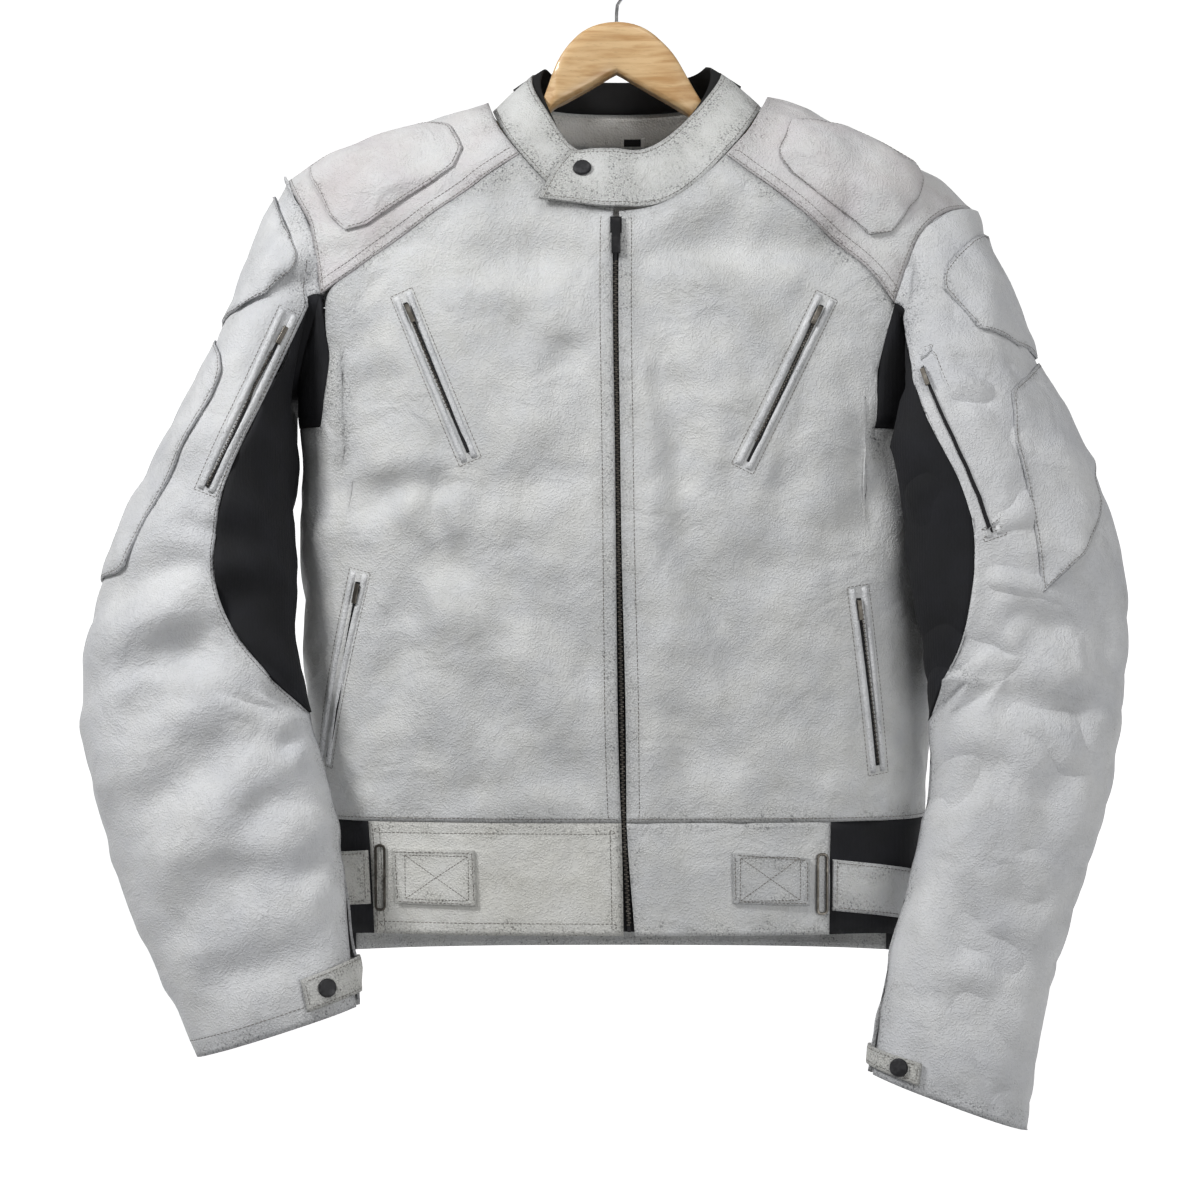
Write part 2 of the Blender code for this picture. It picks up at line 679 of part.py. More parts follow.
def rows_along(side):
    """Lengths down a sleeve for its rows: to the end of the stretch panel, and on to the cuff."""
    leaf = STRETCH_EDGE[side].rows[-1, 0]
    end = SLEEVE[side].rows[-1, 0]
    count = UPPER_ROWS - len(FIRST_ROWS)
    upper = list(FIRST_ROWS) + [FIRST_ROWS[-1] + (leaf - FIRST_ROWS[-1]) * step / count
                                for step in range(1, count + 1)]
    lower = [leaf + (end - leaf) * step / LOWER_ROWS for step in range(1, LOWER_ROWS + 1)]
    return upper, lower


def stretch_edge(side, along):
    leaf = STRETCH_EDGE[side].rows[-1, 0]
    return 180.0 if along > leaf else STRETCH_EDGE[side].at(along)[0]


def cuff_slit(side, along):
    """How far the front edge of the cuff's opening is drawn back from the seam, in degrees of turn."""
    end = SLEEVE[side].rows[-1, 0]
    return 16.0 * ease((along - (end - CUFF_OPENING)) / 45.0)


CUFF_OPENING = 95.0


def sleeve_spot(side, along, turn, thickness):
    return (along, turn * TURN_MM), sleeve(side, along, turn), sleeve(side, along, turn, thickness)


def sleeve_pattern(side):
    upper, lower = rows_along(side)
    grid = []
    for along in upper + lower:
        edge = stretch_edge(side, along)
        ahead = edge - cuff_slit(side, along)
        line = []
        for step in range(-ARM_STEPS, ARM_STEPS + 1):
            turn = (ahead if step > 0 else edge) * step / ARM_STEPS
            line.append(sleeve_spot(side, along, turn, LEATHER))
        grid.append(line)
    return pattern(grid, LEATHER)


def stretch_pattern(side):
    """The black panel under a sleeve, from the armhole to where its two edges meet."""
    upper, _ = rows_along(side)
    grid = []
    for along in upper:
        edge = stretch_edge(side, along)
        grid.append([sleeve_spot(side, along, edge + (360 - 2 * edge) * step / UNDER_STEPS, STRETCH)
                     for step in range(UNDER_STEPS + 1)])
    return pattern(grid, STRETCH)


# ---------------------------------------------------------------- the collar

COLLAR = 2.2           # wall of the collar
TAB_LIFT = 2.6         # the tab stands this far out, over the collar's other end
TAB_TURN = 46.0        # turn where the tab's lower corner lies, on the wearer's right

# The collar's upper edge, by turn around the neck
RIM = {
    RIGHT: Table("turn x y z", [
        (0, 0, -50, -161), (20, -18, -49, -161), (40, -36, -44, -160), (52, -43, -36, -141),
        (68, -60, -18, -118), (90, -66, 8, -95), (120, -52, 32, -96), (150, -28, 45, -97),
        (180, 0, 49, -97)]),
    LEFT: Table("turn x y z", [
        (0, 0, -50, -161), (20, 20, -49, -162), (38, 41, -42, -149), (52, 59, -27, -129),
        (66, 71, -13, -113), (90, 82, 8, -93), (120, 64, 34, -95), (150, 33, 46, -97),
        (180, 0, 49, -97)]),
}
COLLAR_TURNS = (2, 15, 30, 45, 60, 75, 90, 105, 120, 140, 160, 180)
COLLAR_LEVELS = (0.0, 0.08, 0.52, 0.57, 1.0)
TAB_PARTS = (0.2, 0.4, 0.6, 0.8, 1.0)


def over_tab(side, turn):
    """How far the left front end of the collar has come out to pass over the right one, 0 to 1."""
    return ease((26 - turn) / 24.0) if side == LEFT else 0.0


def bowed(base, rim, level):
    """A point between the base and the rim, bowed outwards by a few millimetres."""
    inward = (rim - base) * (1, 1, 0)
    return base + (rim - base) * level - inward / np.linalg.norm(inward) * 5.0 * level * (1 - level)


def collar_point(side, turn, level):
    """A point on the collar's outer side: level 0 at the neck seam and 1 at the upper edge."""
    x, z = NECK[side].at(turn)
    place = on_front(side, x, z)
    depth = LEATHER + LIFT + SEAM - (LEATHER + 1.0) * over_tab(side, turn)
    base = body(side, *(place if turn <= 90 else behind(place)), depth)
    base = base + np.array((0, 0, 2.5 * over_tab(side, turn)))
    return bowed(base, RIM[side].at(turn), level)


def tab_point(part, level):
    """A point under the tab, which runs from the centre front over the wearer's right side."""
    turn = (TAB_TURN - 8.0 * level) * part
    low_x, low_z = -57.0 * part, -208.0 + 7.0 * part
    base = body(RIGHT, *on_front(RIGHT, low_x, low_z), -1.2 - 4.2 * part)
    return bowed(base, RIM[RIGHT].at(turn), level)


def outward_of(points):
    """The way out of a sheet of points, whose rows go up and whose columns go round."""
    way = np.cross(np.gradient(points, axis=1), np.gradient(points, axis=0))
    way /= np.linalg.norm(way, axis=2, keepdims=True)
    if np.sum(way * (points - points.mean(axis=(0, 1)))) < 0:
        way = -way
    return way


def sheet_pattern(points, way):
    """A pattern from a sheet of points and its way out."""
    rows, columns = points.shape[:2]
    grid = [[((float(j), float(i)), points[i, j], points[i, j] - way[i, j]) for j in range(columns)]
            for i in range(rows)]
    return pattern(grid, 1.0)


def make_collar():
    """The collar with its tab, the dark lining of its upper half and the light facing below."""
    places = ([(RIGHT, turn) for turn in COLLAR_TURNS]
              + [(LEFT, turn) for turn in COLLAR_TURNS[-2::-1]] + [(LEFT, 0)])
    points = [[collar_point(side, turn, level) for side, turn in places]
              + [tab_point(part, level) for part in TAB_PARTS] for level in COLLAR_LEVELS]
    top = [1.0 + 0.24 * math.exp(-((turn - 90) / 26.0) ** 2) + 0.04 * ease((turn - 110) / 40.0)
           for side, turn in places]
    points.append([collar_point(*place, level) for place, level in zip(places, top)]
                  + [tab_point(part, 1.04) for part in TAB_PARTS])
    points = np.array(points)
    way = outward_of(points)
    rise = np.array([over_tab(*place) for place in places] + [1.0] * len(TAB_PARTS)) * TAB_LIFT
    raised = points + way * rise[None, :, None]
    solid_from("collar", sheet_pattern(raised[:-1], way[:-1]), "leather", -COLLAR, 0.0)
    last = len(places) - 2
    outer, inner = COLLAR + LIFT, COLLAR + LIFT + 1.5
    solid_from("collar_lining", sheet_pattern(points[3:, :last], way[3:, :last]), "lining", -inner,
               -outer)
    first = COLLAR_TURNS.index(60)
    facing = slice(first, len(places) - 1 - first)
    solid_from("neck_facing", sheet_pattern(points[1:3, facing], way[1:3, facing]), "leather", -inner,
               -outer)


def tab_surface(place, depth):
    """The tab's outer side as a surface, read by part and level."""
    part, level = place
    spot = tab_point(part, level)
    across = tab_point(part + 0.1, level) - tab_point(part - 0.1, level)
    up = tab_point(part, level + 0.1) - tab_point(part, level - 0.1)
    out = np.cross(across, up)
    out *= -math.copysign(1.0, out[1]) / np.linalg.norm(out)
    return spot + out * (TAB_LIFT - depth)


# ---------------------------------------------------------------- hard pieces

def frame_at(surface, place, down):
    """A matrix at a place on a surface: x across, y up against `down`, z out of the cloth.

    surface(place, depth) gives a point and down is a step of the place along the piece.
    """
    place, down = np.array(place, float), np.array(down, float)
    aside = np.array((-down[1], down[0]))
    origin = surface(place, 0.0)
    up = surface(place - down, 0.0) - surface(place + down, 0.0)
    across = surface(place + aside, 0.0) - surface(place - aside, 0.0)
    up /= np.linalg.norm(up)
    out = np.cross(across, up)
    out /= np.linalg.norm(out)
    if out @ (surface(place, -1.0) - origin) < 0:
        out = -out
    across = np.cross(up, out)
    frame = Matrix((across, up, out)).transposed().to_4x4()
    frame.translation = Vector(origin)
    return frame


def on_side(side):
    """A body surface read by x and z."""
    return lambda place, depth: body(side, *on_front(side, place[0], place[1]), depth)


def on_sleeve(side):
    """A sleeve surface read by length along and length round."""
    return lambda place, depth: sleeve(side, place[0], place[1] / TURN_MM, depth)


def block(frame, size, centre, bevel=0.0):
    """A rectangular block in a frame, with its edges rounded."""
    bm = bmesh.new()
    bmesh.ops.create_cube(bm, size=1.0)
    bmesh.ops.scale(bm, vec=size, verts=bm.verts)
    if bevel:
        bmesh.ops.bevel(bm, geom=bm.edges[:], offset=bevel, segments=1, affect="EDGES", profile=0.5)
    bmesh.ops.translate(bm, vec=centre, verts=bm.verts)
    bmesh.ops.transform(bm, matrix=frame, verts=bm.verts)
    return bm


def make_snap(name, frame, lift, radius=7.1, height=1.9):
    """A round snap cap that stands `lift` above the frame's origin."""
    bm = bmesh.new()
    bmesh.ops.create_cone(bm, cap_ends=True, segments=20, radius1=radius, radius2=radius * 0.86,
                          depth=height)
    bmesh.ops.translate(bm, vec=(0, 0, lift + height / 2), verts=bm.verts)
    bmesh.ops.transform(bm, matrix=frame, verts=bm.verts)
    add_solid(name, bm, "snap", smooth=False)


def make_pull(name, frame, length, width, above):
    """A zip's pull tab on its own hinge: it hangs down the frame's y from its origin."""
    thick = 1.4
    pivot = frame @ Vector((0, 0, above + thick / 2))
    bm = block(frame, (width, length, thick), (0, 0.3 - length / 2, above + thick / 2), 0.3)
    add_solid(name, bm, "metal", pivot=pivot, smooth=False)
    HINGES.append((name, pivot * MM, (frame.to_3x3() @ Vector((1, 0, 0))).normalized()))


HINGES = []


# ---------------------------------------------------------------- pockets

POCKET_WIDTH = 14.0
SLIT = 3.4
ZIP_WIDTH = 2.6
SLIDER = 9.0           # length of a pocket zip's slider
ZIP_HEIGHT, SLIDER_HEIGHT, WELT_HEIGHT = 0.9, 1.9, 1.3


def strip_outline(top, bottom, width, short_top=0.0, short_bottom=0.0):
    """Corners of a straight strip between two ends, drawn in from them."""
    top, bottom = np.array(top, float), np.array(bottom, float)
    run = (bottom - top) / np.linalg.norm(bottom - top)
    aside = np.array((-run[1], run[0])) * width / 2
    top, bottom = top + run * short_top, bottom - run * short_bottom
    return [tuple(top + aside), tuple(bottom + aside), tuple(bottom - aside), tuple(top - aside)]


def make_pocket(name, cloth, surface, top, bottom):
    """A zip pocket on a panel: a welt with a slit, the zip in the slit, and its pull."""
    outline = strip_outline(top, bottom, POCKET_WIDTH)
    slit = strip_outline(top, bottom, SLIT, 7.0, 5.0)
    solid_from(f"{name}_welt", cut_out(cloth, outline, slit), "leather", LIFT, WELT_HEIGHT)
    start, end = np.array(top, float), np.array(bottom, float)
    run = (end - start) / np.linalg.norm(end - start)
    strip = cut_out(cloth, strip_outline(top, bottom, ZIP_WIDTH, 7.4, 5.4))
    slider_end = 7.4 + SLIDER
    for away in (slider_end, slider_end + 0.5):
        spot = start + run * away
        bmesh.ops.bisect_plane(strip, geom=strip.verts[:] + strip.edges[:] + strip.faces[:], dist=1e-4,
                               plane_co=(*spot, 0.0), plane_no=(*run, 0.0))
    bmesh.ops.triangulate(strip, faces=strip.faces)

    def height(place):
        away = (np.array(place)[:2] - start) @ run
        return SLIDER_HEIGHT if away < slider_end + 0.1 else ZIP_HEIGHT

    frame = frame_at(surface, start + run * 9.0, run * 4.0)
    place_layer = strip.verts.layers.float_vector["place"]
    away_layer = strip.verts.layers.float_vector["away"]
    tops = [frame.inverted() @ (vert[place_layer] + vert[away_layer] * SLIDER_HEIGHT)
            for vert in strip.verts if height(vert.co) == SLIDER_HEIGHT]
    above = max(spot.z for spot in tops) + 0.3
    solid_from(f"{name}_zip", strip, "zip", LIFT, height)
    make_pull(f"{name}_pull", frame, 15.0, 3.6, above)


# Ends of each pocket's middle line: x and z on the fronts, lengths along and round on the sleeves
CHEST_POCKET = {RIGHT: ((-159, -271), (-107, -394)), LEFT: ((154, -273), (94, -401))}
HAND_POCKET = {RIGHT: ((-190, -477), (-217, -621)), LEFT: ((177, -489), (194, -626))}
ARM_POCKET = {RIGHT: ((64, 116), (243, 101)), LEFT: ((60, 132), (250, 123))}


# ---------------------------------------------------------------- pads

def swell(outline, rise, full):
    """Height of a pad over its outline: `rise` at the edge, `full` from a few centimetres in."""
    corners = [np.array(corner, float) for corner in outline]

    def height(place):
        spot = np.array(place)[:2]
        near = 1e9
        for start, end in zip(corners, corners[1:] + corners[:1]):
            run = end - start
            part = min(max((spot - start) @ run / (run @ run), 0.0), 1.0)
            near = min(near, float(np.linalg.norm(spot - start - run * part)))
        return rise + (full - rise) * ease(near / 16.0)

    return height


# Outlines of the pads: x and length over the ridge on the yokes, lengths along and round on the sleeves
YOKE_PAD = {
    RIGHT: [(-231, -35), (-223, -30), (-162, -14), (-126, -43), (-115, -76), (-121, -89), (-185, -113),
            (-201, -112), (-214, -96), (-230, -52)],
    LEFT: [(120, -85), (132, -54), (167, -34), (225, -33), (230, -52), (223, -78), (203, -117),
           (187, -127), (130, -102), (121, -92)],
}
ARM_PAD = [(44, -82), (44, 82), (50, 89), (80, 79), (104, 48), (124, 0), (104, -48), (80, -79),
           (50, -89)]
ELBOW_PAD = {
    RIGHT: [(132, -50), (132, 55), (140, 72), (250, 62), (315, 58), (324, 48), (332, 0), (324, -40),
            (300, -50)],
    LEFT: [(126, -24), (127, 36), (132, 79), (173, 92), (226, 98), (280, 102), (325, 106), (333, 102),
           (300, 79), (240, 36), (200, -6), (160, -30)],
}


# ---------------------------------------------------------------- cuffs, waist and front zip

CUFF_TAB_LENGTH = 22.0  # height of a cuff tab along the sleeve
CUFF_TAB_RISE = 8.0     # clear space between the tab and the end of the cuff


def make_cuff(letter, side):
    """The tab across the cuff's opening, its snap, and the zip behind the opening."""
    end = SLEEVE[side].rows[-1, 0]
    low, high = end - CUFF_TAB_RISE, end - CUFF_TAB_RISE - CUFF_TAB_LENGTH
    turns = [112 + 9 * step for step in range(11)]
    grid = [[sleeve_spot(side, high + (low - high) * row / 2, turn, 1.0) for turn in turns]
            for row in range(3)]
    solid_from(f"cuff_tab_{letter}", pattern(grid, 1.0), "leather", 0.8, 2.6)
    frame = frame_at(on_sleeve(side), ((low + high) / 2, 130 * TURN_MM), (6.0, 0.0))
    make_snap(f"cuff_snap_{letter}", frame, 3.5)
    turns = [146 + 8 * step for step in range(7)]
    grid = [[sleeve_spot(side, end - CUFF_OPENING + (CUFF_OPENING - 3) * row / 3, turn, 1.0)
             for turn in turns] for row in range(4)]
    solid_from(f"cuff_zip_{letter}", pattern(grid, 1.0), "zip", -6.0, -4.6)


def make_adjuster(letter, side, front_band, side_band):
    """The waist adjuster: a stitched tab on the front band, a ring, and a strap that runs back."""
    tab, strap, ring_x, top, bottom = ADJUSTER[side]
    solid_from(f"strap_tab_{letter}", cut_out(front_band, tab), "leather", LIFT, 2.4)
    solid_from(f"strap_{letter}", cut_out(side_band, strap), "leather", LIFT, 2.4)
    frame = frame_at(on_side(side), (ring_x, (top + bottom) / 2), (0.0, -8.0))
    half_x, half_y, wire = 3.6, (top - bottom) / 2, 1.1
    ring = bpy.data.curves.new(f"ring_{letter}", "CURVE")
    ring.dimensions = "3D"
    ring.bevel_depth = wire * MM
    ring.bevel_resolution = 1
    spline = ring.splines.new("POLY")
    corner = 2.4
    points = []
    for centre_x, centre_y, start in ((1, 1, 0), (-1, 1, 90), (-1, -1, 180), (1, -1, 270)):
        for step in range(3):
            angle = math.radians(start + 45 * step)
            points.append((centre_x * (half_x - corner) + corner * math.cos(angle),
                           centre_y * (half_y - corner) + corner * math.sin(angle), 0.0))
    spline.points.add(len(points) - 1)
    for spot, (x, y, z) in zip(spline.points, points):
        spot.co = (x * MM, y * MM, z * MM, 1.0)
    spline.use_cyclic_u = True
    solid = bpy.data.objects.new(f"ring_{letter}", ring)
    lifted = frame @ Matrix.Translation((0, 0, wire + LIFT + 0.2))
    lifted.translation *= MM
    solid.matrix_world = lifted
    ring.materials.append(material(f"ring_{letter}", *FINISHES["metal"]))
    JACKET.objects.link(solid)


# The tab's and the strap's outlines, by hundredths of the way round and height, and the ring's place
ADJUSTER = {
    RIGHT: ([(25.5, -683), (46.5, -683), (46.5, -723), (25.5, -724)],
            [(BAND_FRONT_END[RIGHT] * 100 + 0.6, -684), (120, -694), (120, -734),
             (BAND_FRONT_END[RIGHT] * 100 + 0.6, -724)], -175.6, -680, -728),
    LEFT: ([(17, -684), (34.6, -689), (34.6, -724), (17, -722)],
           [(BAND_FRONT_END[LEFT] * 100 + 0.6, -690), (120, -712), (120, -750),
            (BAND_FRONT_END[LEFT] * 100 + 0.6, -728)], 151.8, -686, -730),
}


def centre_front(place, depth):
    """Both fronts' surface near the zip line, read by x and z."""
    side = RIGHT if place[0] < BODY.at(place[1])[0] else LEFT
    return body(side, *on_front(side, place[0], place[1]), depth)


def make_front_zip():
    """The front zip behind the two fronts, its teeth in the gap, its slider, and the pull."""
    tape, teeth = 11.0, 1.1
    offsets = (-tape, -teeth - 0.2, -teeth, teeth, teeth + 0.2, tape)
    top, bottom = -213.0, -743.0
    steps = 14
    grid = []
    for row in range(steps + 1):
        z = top + (bottom - top) * row / steps
        zip_x = BODY.at(z)[0]
        line = []
        for offset in offsets:
            side = RIGHT if offset < 0 else LEFT
            round_ = across_at(side, zip_x + offset, z)
            line.append(((offset, z), body(side, round_, z), body(side, round_, z, 1.0)))
        grid.append(line)
    strip = pattern(grid, 1.0)
    behind_fronts = -LEATHER - 1.2
    zip_ = solid_from("front_zip", strip, "zip", behind_fronts - 1.1,
                      lambda place: -0.5 if abs(place[0]) < teeth + 0.05 else behind_fronts)
    frame = frame_at(centre_front, (BODY.at(-220)[0], -220), (0, -6.0))
    for label, size, centre in (("neck", (2.0, 9.0, 4.0), (0, 0, -0.6)),
                                ("plate", (8.6, 12.0, 1.9), (0, 0, 1.5))):
        cutter_mesh = bpy.data.meshes.new(f"slider_{label}")
        bm = block(frame, size, centre)
        bmesh.ops.scale(bm, vec=(MM, MM, MM), verts=bm.verts)
        bm.to_mesh(cutter_mesh)
        bm.free()
        cutter = bpy.data.objects.new(f"slider_{label}", cutter_mesh)
        cutter.hide_render = True
        cutter.display_type = "WIRE"
        CUTTERS.objects.link(cutter)
        join = zip_.modifiers.new(label, "BOOLEAN")
        join.operation = "UNION"
        join.object = cutter
    pull_frame = frame @ Matrix.Translation((0, 4.0, 0))
    make_pull("front_pull", pull_frame, 27.0, 6.6, 1.5 + 0.95 + 0.4)


# ---------------------------------------------------------------- the hanger

# Half a hanger arm's upper and lower edge and its front and back face, from the middle outwards
HANGER_ARM = {
    RIGHT: Table("out top bottom front back", [
        (0, -57, -96, 12, 10), (18, -60, -107, 13, 10), (34, -70, -116, 14, 11), (46, -87, -122, 15, 12),
        (52, -106, -127, 11, 13), (60, -126, -139, 9, 13), (76, -132, -148, 11, 14),
        (98, -133, -156, 14, 15), (150, -147, -173, 20, 17), (196, -163, -192, 24, 17),
        (205, -172, -188, 14, 10)]),
    LEFT: Table("out top bottom front back", [
        (0, -57, -96, 12, 10), (18, -60, -107, 13, 10), (34, -71, -116, 14, 11), (46, -84, -123, 15, 12),
        (56, -104, -129, 12, 12), (70, -126, -142, 10, 13), (86, -132, -149, 11, 14),
        (115, -133, -158, 16, 15), (160, -141, -173, 24, 17), (200, -159, -190, 24, 17),
        (209, -168, -186, 14, 10)]),
}
HOOK_WIRE = 1.3
HOOK_INSIDE = 18.0     # inside radius of the hook


def make_hanger():
    """A wooden hanger, lofted through rounded sections from one arm's end to the other."""
    sections = [(RIGHT, out) for out in HANGER_ARM[RIGHT].rows[::-1, 0]]
    sections += [(LEFT, out) for out in HANGER_ARM[LEFT].rows[1:, 0]]
    rounding = 0.28
    bm = bmesh.new()
    loops = []
    for side, out in sections:
        top, bottom, front, back = HANGER_ARM[side].at(out)
        tall, deep = (top - bottom) / 2, (front + back) / 2
        centre_y, centre_z = (back - front) / 2, (top + bottom) / 2
        cut = rounding * min(tall, deep)
        corners = []
        for sign_y, sign_z in ((-1, -1), (-1, 1), (1, 1), (1, -1)):
            pair = [(sign_y * (deep - cut), sign_z * tall), (sign_y * deep, sign_z * (tall - cut))]
            corners += pair if sign_y == sign_z else pair[::-1]
        loops.append([bm.verts.new((side * out, centre_y + y, centre_z + z)) for y, z in corners])
    for near, far in zip(loops, loops[1:]):
        for i in range(len(near)):
            j = (i + 1) % len(near)
            bm.faces.new((near[i], near[j], far[j], far[i]))
    bm.faces.new(loops[0])
    bm.faces.new(loops[-1])
    bmesh.ops.triangulate(bm, faces=bm.faces)
    add_solid("hanger", bm, "wood")


def make_hook():
    """The wire hook: up from the wood and over, its inside top at the origin."""
    radius = HOOK_INSIDE + HOOK_WIRE
    points = [(0, -56.6), (0, -50), (0.6, -44), (4, -38.5), (10, -34)]
    points += [(radius * math.cos(math.radians(a)), -HOOK_INSIDE + radius * math.sin(math.radians(a)))
               for a in range(-40, 221, 20)]
    hook = bpy.data.curves.new("hanger_hook", "CURVE")
    hook.dimensions = "3D"
    hook.bevel_depth = HOOK_WIRE * MM
    hook.bevel_resolution = 1
    hook.use_fill_caps = True
    spline = hook.splines.new("POLY")
    spline.points.add(len(points) - 1)
    for spot, (x, z) in zip(spline.points, points):
        spot.co = (x * MM, 0.0, z * MM, 1.0)
    solid = bpy.data.objects.new("hanger_hook", hook)
    hook.materials.append(material("hanger_hook", *FINISHES["metal"]))
    JACKET.objects.link(solid)


def build():
    for scene_object in list(bpy.data.objects):
        bpy.data.objects.remove(scene_object, do_unlink=True)
    for group in (JACKET, CUTTERS):
        bpy.context.scene.collection.children.link(group)
    solid_from("back", back_pattern(), "leather", -LEATHER, 0.0)
    for letter, side in SIDES.items():
        front, yoke, arm = front_pattern(side), yoke_pattern(side), sleeve_pattern(side)
        solid_from(f"front_{letter}", front, "leather", -LEATHER, 0.0)
        solid_from(f"yoke_{letter}", yoke, "leather", -LEATHER, 0.0)
        solid_from(f"side_{letter}", insert_pattern(side), "stretch", -STRETCH, 0.0)
        solid_from(f"sleeve_{letter}", arm, "leather", -LEATHER, 0.0)
        solid_from(f"stretch_{letter}", stretch_pattern(side), "stretch", -STRETCH, 0.0)
        band = pattern(band_rows(side, 0, BAND_FRONT_END[side], 6, LEATHER), LEATHER)
        solid_from(f"waist_front_{letter}", band, "leather", -LEATHER, 0.0)
        elastic = pattern(band_rows(side, BAND_FRONT_END[side], BAND_BACK_START, 6, STRETCH), STRETCH)
        solid_from(f"waist_side_{letter}", elastic, "stretch", -STRETCH, 0.0)
        make_adjuster(letter, side, band, elastic)
        for place, cloth, surface, ends in (("chest", front, on_side(side), CHEST_POCKET),
                                            ("hand", front, on_side(side), HAND_POCKET),
                                            ("arm", arm, on_sleeve(side), ARM_POCKET)):
            make_pocket(f"{place}_pocket_{letter}", cloth, surface, *ends[side])
        for name, cloth, outline, full in (("yoke_pad", yoke, YOKE_PAD[side], 7.0),
                                           ("arm_pad", arm, ARM_PAD, 7.5),
                                           ("elbow_pad", arm, ELBOW_PAD[side], 5.0)):
            solid_from(f"{name}_{letter}", cut_out(cloth, outline), "leather", LIFT,
                       swell(outline, 2.0, full))
        make_cuff(letter, side)
    right = band_rows(RIGHT, BAND_BACK_START, 2.0, 6, LEATHER)
    left = band_rows(LEFT, BAND_BACK_START, 2.0, 6, LEATHER)
    around = [near + far[-2::-1] for near, far in zip(right, left)]
    solid_from("waist_back", pattern(around, LEATHER), "leather", -LEATHER, 0.0)
    make_collar()
    make_snap("collar_snap", frame_at(tab_surface, (0.56, 0.62), (0.0, -0.1)), 0.6)
    make_front_zip()
    make_hanger()
    make_hook()


if __name__ == "__main__":
    build()
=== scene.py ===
"""Looks of a leather motorcycle jacket on a wooden hanger.

Every cloth piece starts as a copy of its solid, is smoothed, gets its folds and stitches, and takes a
procedural finish. Lengths are in metres unless a name or a comment says millimetres.
"""

import math

import bmesh
import bpy
import numpy as np
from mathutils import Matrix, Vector
from mathutils.bvhtree import BVHTree
from mathutils.kdtree import KDTree


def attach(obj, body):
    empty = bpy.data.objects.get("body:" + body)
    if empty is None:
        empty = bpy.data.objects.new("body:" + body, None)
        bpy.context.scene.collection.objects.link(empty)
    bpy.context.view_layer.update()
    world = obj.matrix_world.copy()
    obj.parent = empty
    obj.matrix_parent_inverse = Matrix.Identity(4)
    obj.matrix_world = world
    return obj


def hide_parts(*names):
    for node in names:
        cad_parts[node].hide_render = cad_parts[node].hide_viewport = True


bl_info = {
    "name": "Leather motorcycle jacket",
    "version": (1, 0, 0),
    "blender": (4, 5, 0),
    "location": "View3D > Sidebar > Jacket",
    "description": "Builds the looks of a leather motorcycle jacket on its hanger",
    "category": "Object",
}

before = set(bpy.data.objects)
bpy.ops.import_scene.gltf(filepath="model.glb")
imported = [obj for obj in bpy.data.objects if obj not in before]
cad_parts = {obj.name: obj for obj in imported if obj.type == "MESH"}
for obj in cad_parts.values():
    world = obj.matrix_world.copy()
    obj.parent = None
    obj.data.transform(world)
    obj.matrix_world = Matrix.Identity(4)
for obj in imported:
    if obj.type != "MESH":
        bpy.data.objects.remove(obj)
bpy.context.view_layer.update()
MM = 0.001
SIDES = ("r", "l")
JACKET = "jacket"


# ---------------------------------------------------------------- finishes

def srgb(red, green, blue):
    """A linear colour from values of 0 to 255."""
    values = [c / 255 for c in (red, green, blue)]
    return tuple(c / 12.92 if c <= 0.04045 else ((c + 0.055) / 1.055) ** 2.4 for c in values) + (1.0,)


class Wire:
    """A number that runs through a material's nodes."""

    def __init__(self, finish, socket):
        self.finish, self.socket = finish, socket

    def _maths(self, operation, other, swap=False):
        pair = (other, self) if swap else (self, other)
        return self.finish.node("ShaderNodeMath", {"operation": operation}, dict(enumerate(pair)))

    def __add__(self, other):
        return self._maths("ADD", other)

    __radd__ = __add__

    def __sub__(self, other):
        return self._maths("SUBTRACT", other)

    def __rsub__(self, other):
        return self._maths("SUBTRACT", other, True)

    def __mul__(self, other):
        return self._maths("MULTIPLY", other)

    __rmul__ = __mul__

    def least(self, other):
        return self._maths("MINIMUM", other)


